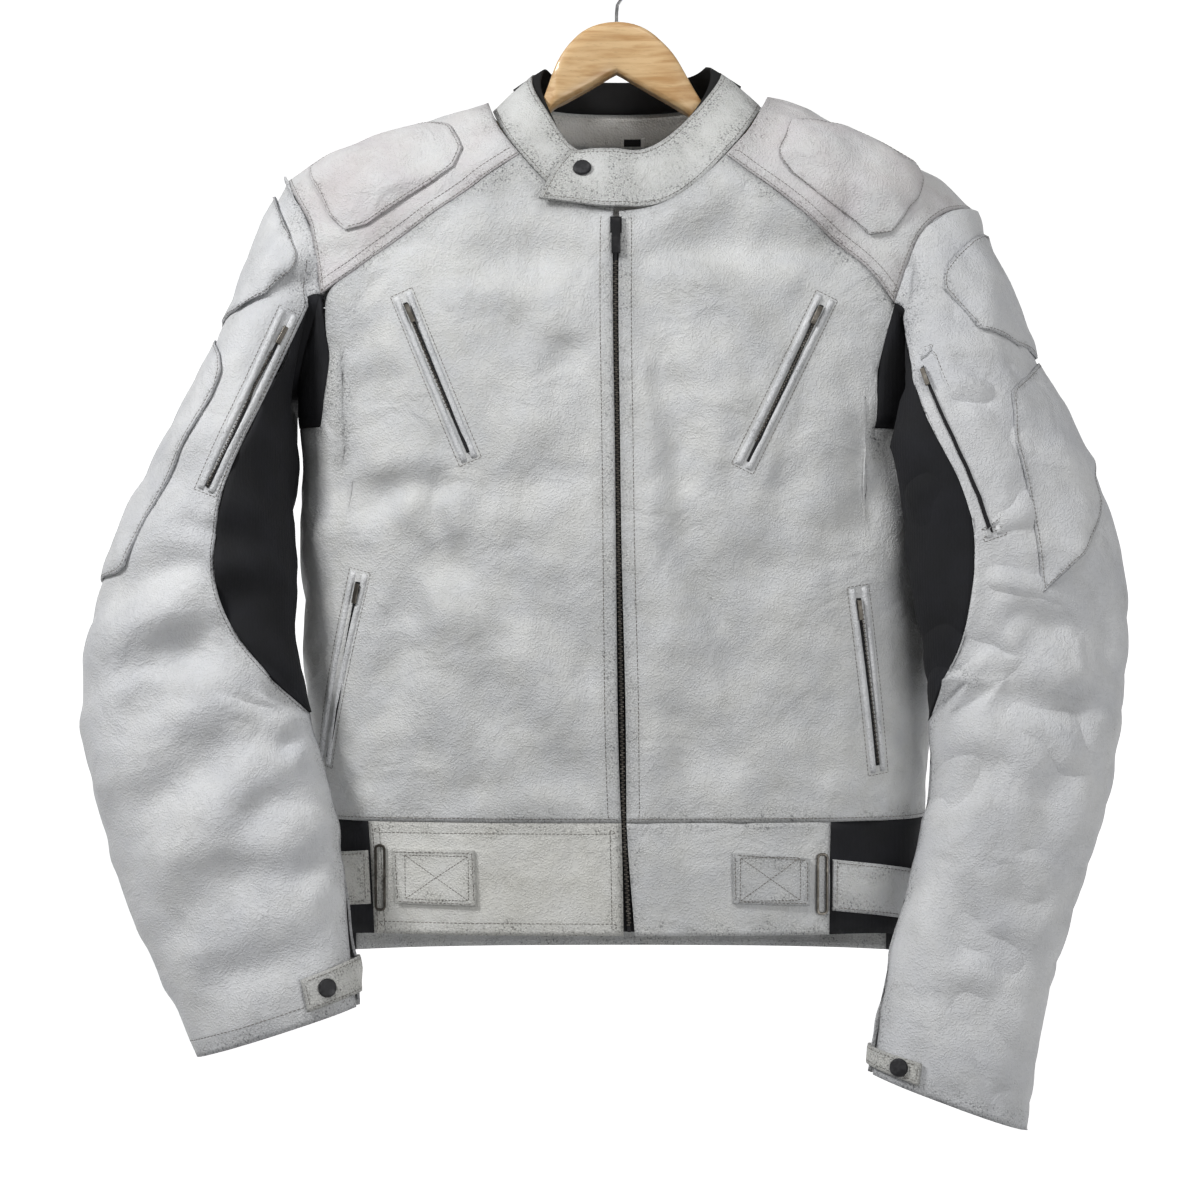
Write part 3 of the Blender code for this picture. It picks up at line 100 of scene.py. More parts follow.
class Finish:
    """A material and the nodes that make it."""

    def __init__(self, name):
        self.material = bpy.data.materials.new(name)
        self.material.use_nodes = True
        self.tree = self.material.node_tree
        self.shader = self.tree.nodes["Principled BSDF"]
        self.place = self.node("ShaderNodeTexCoord", {}, {}, "Object")

    def node(self, kind, settings, values, output=0):
        """A node of a kind, its settings first, then the values or wires of its sockets."""
        made = self.tree.nodes.new(kind)
        for key, value in settings.items():
            setattr(made, key, value)
        for key, value in values.items():
            self.put(made.inputs[key], value)
        return Wire(self, made.outputs[output])

    def put(self, socket, value):
        if isinstance(value, Wire):
            self.tree.links.new(value.socket, socket)
        else:
            socket.default_value = value

    def noise(self, scale, detail=3.0, stretch=(1, 1, 1), rough=0.5, twist=0.0):
        place = self.place
        if stretch != (1, 1, 1):
            place = self.node("ShaderNodeMapping", {}, {"Vector": place, "Scale": stretch})
        return self.node("ShaderNodeTexNoise", {}, {
            "Vector": place, "Scale": scale, "Detail": detail, "Roughness": rough,
            "Distortion": twist}, "Fac")

    def cells(self, scale):
        return self.node("ShaderNodeTexVoronoi", {"feature": "F1"}, {
            "Vector": self.place, "Scale": scale}, "Distance")

    def span(self, value, low, high, to_low=0.0, to_high=1.0):
        """A smooth step of a value from one range to another."""
        return self.node("ShaderNodeMapRange", {"interpolation_type": "SMOOTHSTEP"}, {
            "Value": value, "From Min": low, "From Max": high, "To Min": to_low, "To Max": to_high},
            "Result")

    def mix(self, factor, first, second):
        """A blend of two colours."""
        made = self.tree.nodes.new("ShaderNodeMix")
        made.data_type = "RGBA"
        self.put(made.inputs[0], factor)
        self.put(made.inputs[6], first)
        self.put(made.inputs[7], second)
        return Wire(self, made.outputs[2])

    def attribute(self, name):
        return self.node("ShaderNodeAttribute", {"attribute_name": name}, {}, "Fac")

    def bump(self, height, distance, strength=1.0, normal=None):
        values = {"Height": height, "Distance": distance, "Strength": strength}
        if normal is not None:
            values["Normal"] = normal
        return self.node("ShaderNodeBump", {}, values, "Normal")

    def set(self, **values):
        for key, value in values.items():
            self.put(self.shader.inputs[key.replace("_", " ")], value)
        return self


FINISHES = {}


def kept(paint):
    """Keeps each finish by its name, so that it is made once."""
    def make(name, *settings):
        if name not in FINISHES:
            finish = Finish(name)
            paint(finish, *settings)
            FINISHES[name] = finish.material
        return FINISHES[name]
    return make


@kept
def leather(finish, colour, stain, dirt, yellow):
    """Worn pebbled leather: a light coat, dirt that lies in its grain, soft stains, and painted shade in a
    thin band along each panel's edge.

    dirt is how much of the grain is dark, from 0 to 1; yellow is the share of the aged tint.
    """
    pebble = finish.cells(620.0)
    crack = finish.span(pebble, 0.25, 0.62)
    fine = finish.noise(1500.0, 2.0)
    wrinkle = finish.noise(70.0, 5.0, twist=1.2)
    dent = finish.noise(19.0, 3.0, twist=0.8)
    cloud = finish.noise(17.0, 6.0, rough=0.62)
    patch = finish.noise(36.0, 6.0, rough=0.66)
    seam = finish.attribute("seam")
    # dirt: patches, more of it beside the seams, and in the cracks of the grain
    near = finish.span(seam, 0.0, 0.7, 0.35, 0.0)
    soiled = finish.span(patch + cloud * 0.5 + near, 0.98 - 0.42 * dirt, 1.40 - 0.42 * dirt)
    speck = finish.span(finish.noise(640.0, 3.0), 0.5, 0.66)
    tone = finish.mix(finish.span(cloud, 0.30, 0.74) * 0.6, colour, stain)
    aged = finish.mix(finish.span(patch, 0.3, 0.7) * yellow, tone, srgb(212, 206, 176))
    # dark: the colour of the dirt, and also of the painted shade along the panel edges
    dark = tuple(c * 0.30 for c in stain[:3]) + (1.0,)
    soil = (soiled * (0.25 + 0.75 * speck) * crack * (0.65 + 0.55 * dirt)).least(0.9)
    worn = finish.mix(soil, aged, dark)
    # painted shade: the colour darkens in a thin band along each panel's edge, where the seam line lies
    seam_shaded = finish.mix(finish.span(seam, 0.0, 0.16, 0.28, 0.0), worn, dark)
    height = (1.0 - crack) * 0.70 + fine * 0.18
    crease = finish.bump(wrinkle, 0.0010, 0.22, finish.bump(dent, 0.010, 0.5))
    finish.set(Base_Color=seam_shaded, Roughness=0.46 + 0.22 * crack + 0.1 * fine,
               Normal=finish.bump(height, 0.00045, 0.8, crease))


@kept
def knit(finish, colour, light, scale=900.0):
    """Matte stretch cloth with fine ribs down its length."""
    rib = finish.node("ShaderNodeTexWave", {"wave_type": "BANDS", "bands_direction": "X"}, {
        "Vector": finish.place, "Scale": scale / 3.0, "Distortion": 2.0, "Detail": 2.0}, "Fac")
    soft = finish.noise(40.0, 4.0)
    fuzz = finish.noise(1900.0, 2.0)
    tone = finish.mix(finish.span(soft * 0.6 + fuzz * 0.4, 0.35, 0.7), colour, light)
    finish.set(Base_Color=tone, Roughness=0.82 + 0.1 * fuzz,
               Normal=finish.bump(rib * 0.5 + fuzz * 0.5 + soft * 2.0, 0.0004, 0.7))


@kept
def metal(finish, colour, rough, metallic=1.0):
    """Smooth metal or enamel with fine scratches and a little dust."""
    scratch = finish.noise(420.0, 5.0, (1, 1, 6))
    dust = finish.noise(160.0, 3.0)
    light = tuple(min(c * 1.9 + 0.02, 1.0) for c in colour[:3]) + (1.0,)
    finish.set(Base_Color=finish.mix(finish.span(dust, 0.45, 0.75), colour, light), Metallic=metallic,
               Roughness=rough + 0.22 * scratch, Normal=finish.bump(scratch, 0.00012, 0.6))


@kept
def tape(finish):
    """Woven black zip tape."""
    weave = finish.node("ShaderNodeTexWave", {"wave_type": "BANDS", "bands_direction": "DIAGONAL"}, {
        "Vector": finish.place, "Scale": 420.0, "Distortion": 1.0}, "Fac")
    fuzz = finish.noise(1500.0, 2.0)
    finish.set(Base_Color=finish.mix(weave * 0.6, srgb(17, 17, 19), srgb(38, 38, 41)),
               Roughness=0.86 + 0.1 * fuzz, Normal=finish.bump(weave + fuzz * 0.4, 0.0003, 0.8))


@kept
def wood(finish, colour, dark):
    """Lacquered light wood with its grain down the arms."""
    bent = finish.noise(14.0, 2.0, (1, 3, 3))
    place = finish.node("ShaderNodeMapping", {}, {"Vector": finish.place, "Rotation": (0, 0.55, 0),
                                                  "Scale": (0.10, 1.0, 1.0)})
    ring = finish.node("ShaderNodeTexNoise", {}, {"Vector": place, "Scale": 210.0, "Detail": 3.0,
                                                  "Distortion": 0.4}, "Fac")
    pore = finish.node("ShaderNodeTexNoise", {}, {"Vector": place, "Scale": 1500.0, "Detail": 2.0}, "Fac")
    tone = finish.mix(finish.span(ring + bent * 0.4, 0.52, 0.9), colour, dark)
    flecked = finish.mix(finish.span(pore, 0.58, 0.75) * 0.35, tone, tuple(c * 0.6 for c in dark[:3]) + (1,))
    finish.set(Base_Color=flecked, Roughness=0.36 + 0.15 * ring, Coat_Weight=0.25,
               Normal=finish.bump(ring * 0.5 + pore * 0.5, 0.00015, 0.5))


@kept
def thread(finish, colour):
    """Sewing thread, a little darker where it is dirty."""
    twist = finish.noise(1300.0, 2.0)
    grey = finish.noise(30.0, 3.0)
    dark = tuple(c * 0.45 for c in colour[:3]) + (1.0,)
    finish.set(Base_Color=finish.mix(finish.span(grey + twist * 0.3, 0.4, 0.9), colour, dark),
               Roughness=0.75 + 0.1 * twist, Normal=finish.bump(twist, 0.0002, 0.6))


# ---------------------------------------------------------------- folds, in mm in the front view

# A fold's line in the front view, its bow to one side, its width and its depth
FRONT_FOLDS = [
    # x1, z1, x2, z2, bow, width, depth
    (-190, -428, -122, -409, 4, 11, 3.6), (-127, -407, -134, -448, -5, 10, 2.6),
    (-147, -473, -109, -468, 0, 18, 3.0), (-158, -477, -180, -580, 8, 18, 2.6),
    (-127, -238, -12, -236, -8, 18, 3.0), (-186, -255, -196, -319, 5, 14, 2.2),
    (-34, -305, -38, -329, 0, 16, 2.4), (17, -236, 91, -216, -8, 16, 3.4),
    (67, -242, 172, -248, 12, 16, 4.0), (24, -309, 50, -409, 6, 14, 3.0),
    (47, -424, 84, -527, -8, 14, 3.2), (28, -572, 61, -624, 6, 14, 2.0),
    (-42, -498, -20, -572, 6, 22, 2.2), (-109, -527, -57, -601, -8, 24, 2.4),
    (106, -364, 135, -438, 6, 22, 2.2), (128, -276, 106, -350, 6, 20, 1.6),
    (-87, -424, -24, -402, 5, 16, 2.0), (187, -364, 165, -468, 6, 20, 2.2),
    (-72, -616, -13, -638, 4, 16, 1.6), (61, -468, 128, -498, 8, 22, 2.0),
]
BACK_FOLDS = [
    # x1, z1, x2, z2, bow, width, depth
    (-150, -230, 20, -260, 10, 20, 3.4), (-20, -250, 140, -225, -8, 18, 3.0),
    (-90, -330, -60, -430, 8, 18, 2.8), (70, -320, 100, -440, -8, 18, 2.8),
    (-210, -420, -90, -395, 6, 14, 3.6), (90, -400, 205, -430, 8, 14, 3.4),
    (-130, -470, -160, -590, 8, 20, 2.6), (120, -480, 150, -600, -8, 20, 2.6),
    (-40, -480, 10, -600, 8, 24, 2.4), (-70, -620, 60, -640, 6, 18, 1.8),
]
SLEEVE_FOLDS = [
    # x1, z1, x2, z2, bow, width, depth
    (-364, -598, -279, -514, 10, 20, 4.6), (-358, -677, -263, -594, 12, 22, 4.6),
    (-277, -660, -223, -635, 4, 13, 2.8), (-245, -610, -224, -594, 3, 8, 2.8),
    (-369, -505, -301, -468, 8, 16, 3.2), (-377, -553, -309, -535, 8, 14, 2.8),
    (-257, -270, -218, -264, 4, 10, 2.2), (-285, -350, -301, -402, 4, 16, 1.6),
    (-334, -742, -249, -690, 8, 20, 3.0), (-235, -705, -201, -679, 3, 11, 2.0),
    (-298, -786, -225, -750, 6, 18, 2.0), (-323, -438, -286, -453, 3, 11, 2.0),
    (369, -554, 351, -524, 5, 11, 4.2), (279, -518, 313, -508, 4, 10, 2.8),
    (291, -538, 331, -514, 5, 11, 2.8), (235, -538, 291, -548, 6, 14, 2.6),
    (268, -742, 289, -766, 3, 13, 3.2), (245, -774, 282, -851, 8, 16, 3.4),
    (328, -583, 357, -564, 4, 12, 3.2), (254, -572, 343, -598, 10, 18, 3.2),
    (235, -646, 291, -616, 8, 20, 2.8), (306, -646, 335, -616, 5, 15, 2.2),
    (243, -690, 250, -764, 5, 15, 2.0), (298, -402, 328, -468, 5, 20, 2.0),
    (232, -350, 272, -344, 5, 13, 2.2), (313, -779, 291, -853, 5, 15, 2.0),
]
SLEEVE_BACK_FOLDS = [
    # x1, z1, x2, z2, bow, width, depth
    (-352, -505, -262, -470, 8, 13, 4.2), (-368, -548, -268, -530, 8, 14, 4.4),
    (-350, -610, -270, -560, 8, 18, 3.6), (-330, -700, -250, -650, 8, 18, 3.0),
    (-270, -330, -235, -320, 5, 12, 2.6), (-300, -420, -262, -440, 5, 14, 2.4),
    (350, -520, 262, -480, -8, 13, 4.2), (366, -560, 270, -540, -8, 14, 4.4),
    (345, -620, 262, -590, -8, 18, 3.6), (330, -720, 250, -680, -8, 18, 3.0),
    (280, -340, 240, -330, 5, 12, 2.6), (312, -430, 270, -450, -5, 14, 2.4),
]
# Hard pieces whose ground stays calm, in mm
CALM = [
    # x, z, how far around
    (-156, -279, 26), (-193, -486, 24), (-245, -295, 24), (151, -281, 26), (179, -498, 24),
    (218, -310, 24), (-1, -215, 30), (-30, -182, 34), (-176, -704, 34), (152, -708, 34),
    (-205, -784, 30), (198, -836, 30),
]
FOLD_STRENGTH = 1.9    # scales the depths in the tables
# Sewn lines whose ground stays calm, in mm
CALM_LINES = [
    # x1, z1, x2, z2
    (-159, -271, -107, -394), (154, -273, 94, -401), (-190, -477, -217, -621), (177, -489, 194, -626),
    (-242, -290, -300, -421), (215, -316, 275, -460), (-1, -205, 4, -660), (-198, -745, -196, -785),
    (202, -750, 196, -826), (-12, -165, -75, -200),
]
CALM_NEAR, CALM_FAR = 9.0, 27.0  # still within the first distance, free beyond the second


def calm_lines(x, z):
    """0 beside the sewn lines and 1 away from them."""
    calm = np.ones(len(x))
    for x1, z1, x2, z2 in CALM_LINES:
        run = np.array((x2 - x1, z2 - z1), float)
        part = np.clip(((x - x1) * run[0] + (z - z1) * run[1]) / (run @ run), 0, 1)
        away = np.hypot(x - x1 - part * run[0], z - z1 - part * run[1])
        free = np.clip((away - CALM_NEAR) / (CALM_FAR - CALM_NEAR), 0, 1)
        calm = np.minimum(calm, free * free * (3 - 2 * free))
    return calm


def fold_heights(x, z, folds):
    """Height of a table of folds over arrays of places in the front view."""
    total = np.zeros(len(x))
    for x1, z1, x2, z2, bow, width, depth in folds:
        run = np.array((x2 - x1, z2 - z1), float)
        length = np.linalg.norm(run)
        run /= length
        along = ((x - x1) * run[0] + (z - z1) * run[1]) / length
        part = np.clip(along, -0.4, 1.4)
        aside = (x - x1) * -run[1] + (z - z1) * run[0] - bow * 4 * part * (1 - part)
        ends = np.clip(1.25 - np.abs(part - 0.5) * 1.7, 0, 1)
        ends = ends * ends * (3 - 2 * ends)
        valley = np.exp(-(aside / width) ** 2)
        lips = np.exp(-((np.abs(aside) - 1.8 * width) / (1.1 * width)) ** 2)
        total += FOLD_STRENGTH * depth * ends * (0.5 * lips - 0.85 * valley)
    return total


HILLS = [
    # pitch in mm, turn, height in mm, shift
    (97, 0.3, 1.7, 0.0), (63, 1.4, 1.1, 1.7), (44, 2.3, 0.62, 0.6),
    (31, 0.9, 0.30, 2.9), (23, 1.9, 0.16, 4.1),
]
ROUND = 6.283          # radians in a turn, near enough
LONGER = 1.35          # how much longer a hill is than wide


def soft_hills(points):
    """Low uneven hills that keep any panel from lying dead flat, in mm."""
    x, y, z = (points / MM).T
    hills = np.zeros(len(points))
    for pitch, turn, height, shift in HILLS:
        u = x * math.cos(turn) + z * math.sin(turn) + 0.6 * y
        v = -x * math.sin(turn) + z * math.cos(turn) - 0.4 * y
        across = np.sin(u * ROUND / pitch + shift)
        hills += height * across * np.sin(v * ROUND / (pitch * LONGER) + 2 * shift)
    return hills


ARM_PIECES = ("sleeve", "stretch", "arm", "elbow", "cuff")
NECK_PIECES = ("collar", "neck")   # they get no folds
WAIST_START, WAIST_RUN = 640, 25   # height in mm where the band begins to calm the folds, and over how much
WAIST_CALM = 0.8


def fold_field(node, points, normals):
    """How far a node's cloth moves along its normal, in metres, at points of its outer side."""
    if node.startswith(NECK_PIECES):
        return np.zeros(len(points))
    x, z = points[:, 0] / MM, points[:, 2] / MM
    facing = np.clip(-normals[:, 1] * 1.6, 0, 1)
    behind = np.clip(normals[:, 1] * 1.6, 0, 1)
    on_arm = node.startswith(ARM_PIECES)
    front = fold_heights(x, z, SLEEVE_FOLDS if on_arm else FRONT_FOLDS)
    back = fold_heights(x, z, SLEEVE_BACK_FOLDS if on_arm else BACK_FOLDS)
    height = front * facing + back * behind + soft_hills(points)
    calm = np.ones(len(points))
    for spot_x, spot_z, reach in CALM:
        away = np.hypot(x - spot_x, z - spot_z) / reach
        calm *= 1 - np.exp(-away ** 4) * facing
    calm *= 1 - (1 - calm_lines(x, z)) * facing
    waist = 0 if on_arm else np.clip((-z - WAIST_START) / WAIST_RUN, 0, 1)
    return height * calm * (1 - WAIST_CALM * waist) * MM


# ---------------------------------------------------------------- making pieces

def deselect():
    if bpy.context.object and bpy.context.object.mode != "OBJECT":
        bpy.ops.object.mode_set(mode="OBJECT")
    bpy.ops.object.select_all(action="DESELECT")


def choose(piece):
    deselect()
    piece.select_set(True)
    bpy.context.view_layer.objects.active = piece


def modify(piece, kind, **settings):
    """Adds a modifier, sets it and applies it."""
    choose(piece)
    made = piece.modifiers.new(kind.lower(), kind)
    for key, value in settings.items():
        setattr(made, key, value)
    bpy.ops.object.modifier_apply(modifier=made.name)


def copy_of(node, name):
    """A welded copy of a solid, which stands for it."""
    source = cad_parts[node]
    piece = bpy.data.objects.new(name, source.data.copy())
    bpy.context.scene.collection.objects.link(piece)
    piece.data.materials.clear()
    choose(piece)
    bpy.ops.object.mode_set(mode="EDIT")
    bpy.ops.mesh.select_all(action="SELECT")
    bpy.ops.mesh.remove_doubles(threshold=0.00002)
    bpy.ops.mesh.tris_convert_to_quads(face_threshold=math.radians(25), shape_threshold=math.radians(70))
    bpy.ops.mesh.select_all(action="DESELECT")
    bpy.ops.object.mode_set(mode="OBJECT")
    piece.data.shade_smooth()
    return piece


def crease_sharp(piece, degrees, crease=1.0):
    """Marks the sharp edges so that smoothing keeps them."""
    bm = bmesh.new()
    bm.from_mesh(piece.data)
    layer = bm.edges.layers.float.get("crease_edge") or bm.edges.layers.float.new("crease_edge")
    for edge in bm.edges:
        if len(edge.link_faces) == 2 and edge.calc_face_angle(0.0) > math.radians(degrees):
            edge[layer] = crease
    bm.to_mesh(piece.data)
    bm.free()


def dress(piece, material, body=JACKET):
    piece.data.materials.clear()
    piece.data.materials.append(material)
    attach(piece, body)
    return piece


def whole_area(piece):
    return sum(polygon.area for polygon in piece.data.polygons)


def coordinates(mesh):
    flat = np.zeros(len(mesh.vertices) * 3, np.float64)
    mesh.vertices.foreach_get("co", flat)
    return flat.reshape(-1, 3)


def put_coordinates(mesh, points):
    mesh.vertices.foreach_set("co", np.ascontiguousarray(points, np.float64).ravel())
    mesh.update()


# Angles in degrees that part a cloth's outer side from its edge: the first that gives no more than one side
SIDE_LIMITS = (58, 48, 38, 30)
SMALL_LIMITS = (40, 30)
ONE_SIDE = 0.56        # most of a piece's area that its outer side can have
CORNER = 38            # degrees that make a corner of an edge
STEP = 3.0             # spacing of the points of a laid line, in mm


class Cloth:
    """A finished cloth piece, with its outer side and the edges of that side for the trimmings."""

    def __init__(self, node, levels=2):
        self.node = node
        for limit in SIDE_LIMITS if levels > 2 else SMALL_LIMITS:
            self.piece = copy_of(node, node + "_cloth")
            crease_sharp(self.piece, limit + 10)
            modify(self.piece, "SUBSURF", levels=levels, render_levels=levels,
                   boundary_smooth="PRESERVE_CORNERS")
            self.split_sides(math.radians(limit))
            if self.area < ONE_SIDE * whole_area(self.piece) or limit == SIDE_LIMITS[-1]:
                break
            bpy.data.objects.remove(self.piece)
        self.fold()
        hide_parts(node)
        self.edges = self.find_edges()

    def split_sides(self, limit):
        """Finds the outer side: the largest stretch of faces with no sharp edge inside it."""
        bm = bmesh.new()
        bm.from_mesh(self.piece.data)
        bm.faces.ensure_lookup_table()
        region = [-1] * len(bm.faces)
        areas = []
        for seed in bm.faces:
            if region[seed.index] >= 0:
                continue
            number, area, todo = len(areas), 0.0, [seed]
            region[seed.index] = number
            while todo:
                face = todo.pop()
                area += face.calc_area()
                for edge in face.edges:
                    if len(edge.link_faces) != 2 or edge.calc_face_angle(0.0) > limit:
                        continue
                    for other in edge.link_faces:
                        if region[other.index] < 0:
                            region[other.index] = number
                            todo.append(other)
            areas.append(area)
        outer = int(np.argmax(areas))
        self.outer_faces = [i for i, number in enumerate(region) if number == outer]
        self.area = areas[outer]
        bm.free()

    def fold(self):
        """Moves the outer side by the folds, and every other point by what the nearest one moved."""
        mesh = self.piece.data
        points = coordinates(mesh)
        normals = np.zeros_like(points)
        inside = np.zeros(len(points), bool)
        for index in self.outer_faces:
            polygon = mesh.polygons[index]
            normal = np.array(polygon.normal) * polygon.area
            for vertex in polygon.vertices:
                normals[vertex] += normal
                inside[vertex] = True
        lengths = np.linalg.norm(normals[inside], axis=1, keepdims=True)
        normals[inside] /= np.maximum(lengths, 1e-12)
        moves = np.zeros_like(points)
        heights = fold_field(self.node, points[inside], normals[inside])
        moves[inside] = normals[inside] * heights[:, None]
        tree = KDTree(int(inside.sum()))
        for vertex in np.nonzero(inside)[0]:
            tree.insert(points[vertex], int(vertex))
        tree.balance()
        for vertex in np.nonzero(~inside)[0]:
            moves[vertex] = moves[tree.find(points[vertex])[1]]
        put_coordinates(mesh, points + moves)

    def find_edges(self):
        """Runs of points round the outer side, broken at its corners: (point, normal, inward) each."""
        mesh = self.piece.data
        count, sides, normals = {}, {}, {}
        for index in self.outer_faces:
            polygon = mesh.polygons[index]
            for key in polygon.edge_keys:
                count[key] = count.get(key, 0) + 1
                sides[key] = index
            for vertex in polygon.vertices:
                normals[vertex] = normals.get(vertex, Vector()) + polygon.normal
        nexts = {}
        for key, number in count.items():
            if number == 1:
                for first, second in (key, key[::-1]):
                    nexts.setdefault(first, []).append(second)
        used, runs = set(), []
        for start in nexts:
            if start in used:
                continue
            loop, last, here = [start], None, start
            used.add(start)
            while True:
                steps = [v for v in nexts[here] if v != last and (v not in used or v == start)]
                if not steps or steps[0] == start:
                    break
                last, here = here, steps[0]
                loop.append(here)
                used.add(here)
            if len(loop) > 4:
                runs += self.break_loop(mesh, loop, normals, sides)
        return runs

    def break_loop(self, mesh, loop, normals, sides):
        places = [mesh.vertices[v].co.copy() for v in loop]
        size = len(places)
        corners = []
        for i in range(size):
            before = places[i] - places[(i - 2) % size]
            after = places[(i + 2) % size] - places[i]
            if before.length > 1e-9 and after.length > 1e-9 and before.angle(after) > math.radians(CORNER):
                sharpest = all(self.turn(places, i) >= self.turn(places, (i + k) % size) for k in (-1, 1))
                if sharpest:
                    corners.append(i)
        frames = []
        for i in range(size):
            ahead = (places[(i + 1) % size] - places[i - 1]).normalized()
            normal = normals[loop[i]].normalized()
            inward = normal.cross(ahead).normalized()
            key = tuple(sorted((loop[i], loop[(i + 1) % size])))
            key = key if key in sides else tuple(sorted((loop[i], loop[i - 1])))
            side = sides.get(key)
            if side is not None and inward.dot(mesh.polygons[side].center - places[i]) < 0:
                inward = -inward
            frames.append((places[i], normal, inward))
        if not corners:
            return [frames + frames[:1]]
        runs = []
        for first, second in zip(corners, corners[1:] + [corners[0] + size]):
            if second - first > 1:
                runs.append([frames[i % size] for i in range(first, second + 1)])
        return runs

    @staticmethod
    def turn(places, i):
        size = len(places)
        before = places[i] - places[(i - 1) % size]
        after = places[(i + 1) % size] - places[i]
        if before.length < 1e-9 or after.length < 1e-9:
            return 0.0
        return before.angle(after)

    def ground(self):
        """The outer side as a surface to lay trimmings on."""
        if not hasattr(self, "tree"):
            mesh = self.piece.data
            points = [v.co for v in mesh.vertices]
            faces = [tuple(mesh.polygons[i].vertices) for i in self.outer_faces]
            self.tree = BVHTree.FromPolygons(points, faces)
        return self.tree

    def edge(self, x, y, z):
        """The run whose middle lies nearest to a place given in mm."""
        spot = Vector((x, y, z)) * MM

        def distance(run):
            middle = run[len(run) // 2][0]
            centre = sum((point for point, _, _ in run), Vector()) / len(run)
            return min((middle - spot).length, (centre - spot).length)
        return min(self.edges, key=distance)

    def shade_seams(self, reach=30.0):
        """Stores how far each point lies from the piece's edge, from 0 at it to 1 at the reach."""
        mesh = self.piece.data
        spots = [point for run in self.edges for point, _, _ in run]
        values = np.ones(len(mesh.vertices), np.float32)
        if spots:
            tree = KDTree(len(spots))
            for i, spot in enumerate(spots):
                tree.insert(spot, i)
            tree.balance()
            for i, vertex in enumerate(mesh.vertices):
                values[i] = min(tree.find(vertex.co)[2] / (reach * MM), 1.0)
        layer = mesh.attributes.new("seam", "FLOAT", "POINT")
        layer.data.foreach_set("value", values)


def settle(cloth, point, lift=0.0):
    """The place on a cloth's outer side nearest to a point, raised by a lift in mm, and its normal."""
    place, normal, _, _ = cloth.ground().find_nearest(point)
    return place + normal * lift * MM, normal


def inset(cloth, run, away, start=0.0, end=0.0):
    """A line on the cloth that keeps a distance in mm from a run of its edge."""
    line = [settle(cloth, point + inward * away * MM) for point, normal, inward in run]
    line = even(line, STEP)
    first = int(round(start / STEP))
    last = len(line) - int(round(end / STEP))
    return line[first:last]


def even(line, pitch):
    """The same line with points evenly `pitch` mm apart."""
    points = np.array([p[:] for p, n in line])
    normals = np.array([n[:] for p, n in line])
    steps = np.linalg.norm(np.diff(points, axis=0), axis=1)
    keep = np.concatenate(([True], steps > 1e-7))
    points, normals = points[keep], normals[keep]
    reach = np.concatenate(([0.0], np.cumsum(np.linalg.norm(np.diff(points, axis=0), axis=1))))
    if reach[-1] < pitch * MM:
        return []
    marks = np.linspace(0, reach[-1], max(2, int(round(reach[-1] / (pitch * MM))) + 1))
    made = [np.stack([np.interp(marks, reach, values[:, i]) for i in range(3)], 1)
            for values in (points, normals)]
    return [(Vector(p), Vector(n).normalized()) for p, n in zip(*made)]


def lay(cloth, corners, pitch):
    """A line laid on a cloth through places given in mm, each with x, y and z."""
    line = []
    for first, second in zip(corners, corners[1:]):
        first, second = Vector(first) * MM, Vector(second) * MM
        count = max(2, int((second - first).length / (pitch * MM)))
        line += [settle(cloth, first.lerp(second, i / count)) for i in range(count)]
    line.append(settle(cloth, Vector(corners[-1]) * MM))
    return even(line, pitch)


# ---------------------------------------------------------------- stitches and strips

STITCHES = {}


def stitch(group, line, pitch=3.2):
    """Adds a row of stitches along a line of (point, normal) to a group."""
    line = even(line, pitch) if line else []
    rows = STITCHES.setdefault(group, [])
    for (first, normal), (second, _) in zip(line, line[1:]):
        rows.append(((first + second) / 2, (second - first), normal))


def take_model():
    """The points and faces of the model just made, which is removed."""
    model = bpy.context.object
    points = coordinates(model.data)
    faces = [tuple(p.vertices) for p in model.data.polygons]
    bpy.data.objects.remove(model)
    return points, faces


def copies(name, model, faces, places):
    """One piece from copies of a small model, each with its centre, its axes and its size."""
    points, polygons = [], []
    for centre, axes, size in places:
        base = len(points) * len(model)
        points.append(np.array(centre[:]) + (model * size) @ axes)
        polygons += [tuple(v + base for v in face) for face in faces]
    mesh = bpy.data.meshes.new(name)
    mesh.from_pydata(np.concatenate(points).tolist(), [], polygons)
    piece = bpy.data.objects.new(name, mesh)
    bpy.context.scene.collection.objects.link(piece)
    return piece


STITCH_WIDTH = 0.55    # in mm
STITCH_FLAT = 0.9      # how high a stitch is for its width
STITCH_SHARE = 0.86    # length of a stitch for its pitch
STITCH_LIFT = 0.08     # in mm


def sew(group, name, material):
    """Makes the stitches of a group, as one piece."""
    deselect()
    bpy.ops.mesh.primitive_uv_sphere_add(segments=5, ring_count=4, radius=0.5)
    model, faces = take_model()
    places = []
    for centre, run, normal in STITCHES.pop(group):
        along = run.normalized()
        side = normal.cross(along).normalized()
        up = along.cross(side)
        axes = np.array([side[:], up[:], along[:]])
        size = np.array((STITCH_WIDTH * MM, STITCH_WIDTH * MM * STITCH_FLAT, run.length * STITCH_SHARE))
        places.append((centre + up * STITCH_LIFT * MM, axes, size))
    piece = copies(name, model, faces, places)
    piece.data.shade_smooth()
    return dress(piece, material)


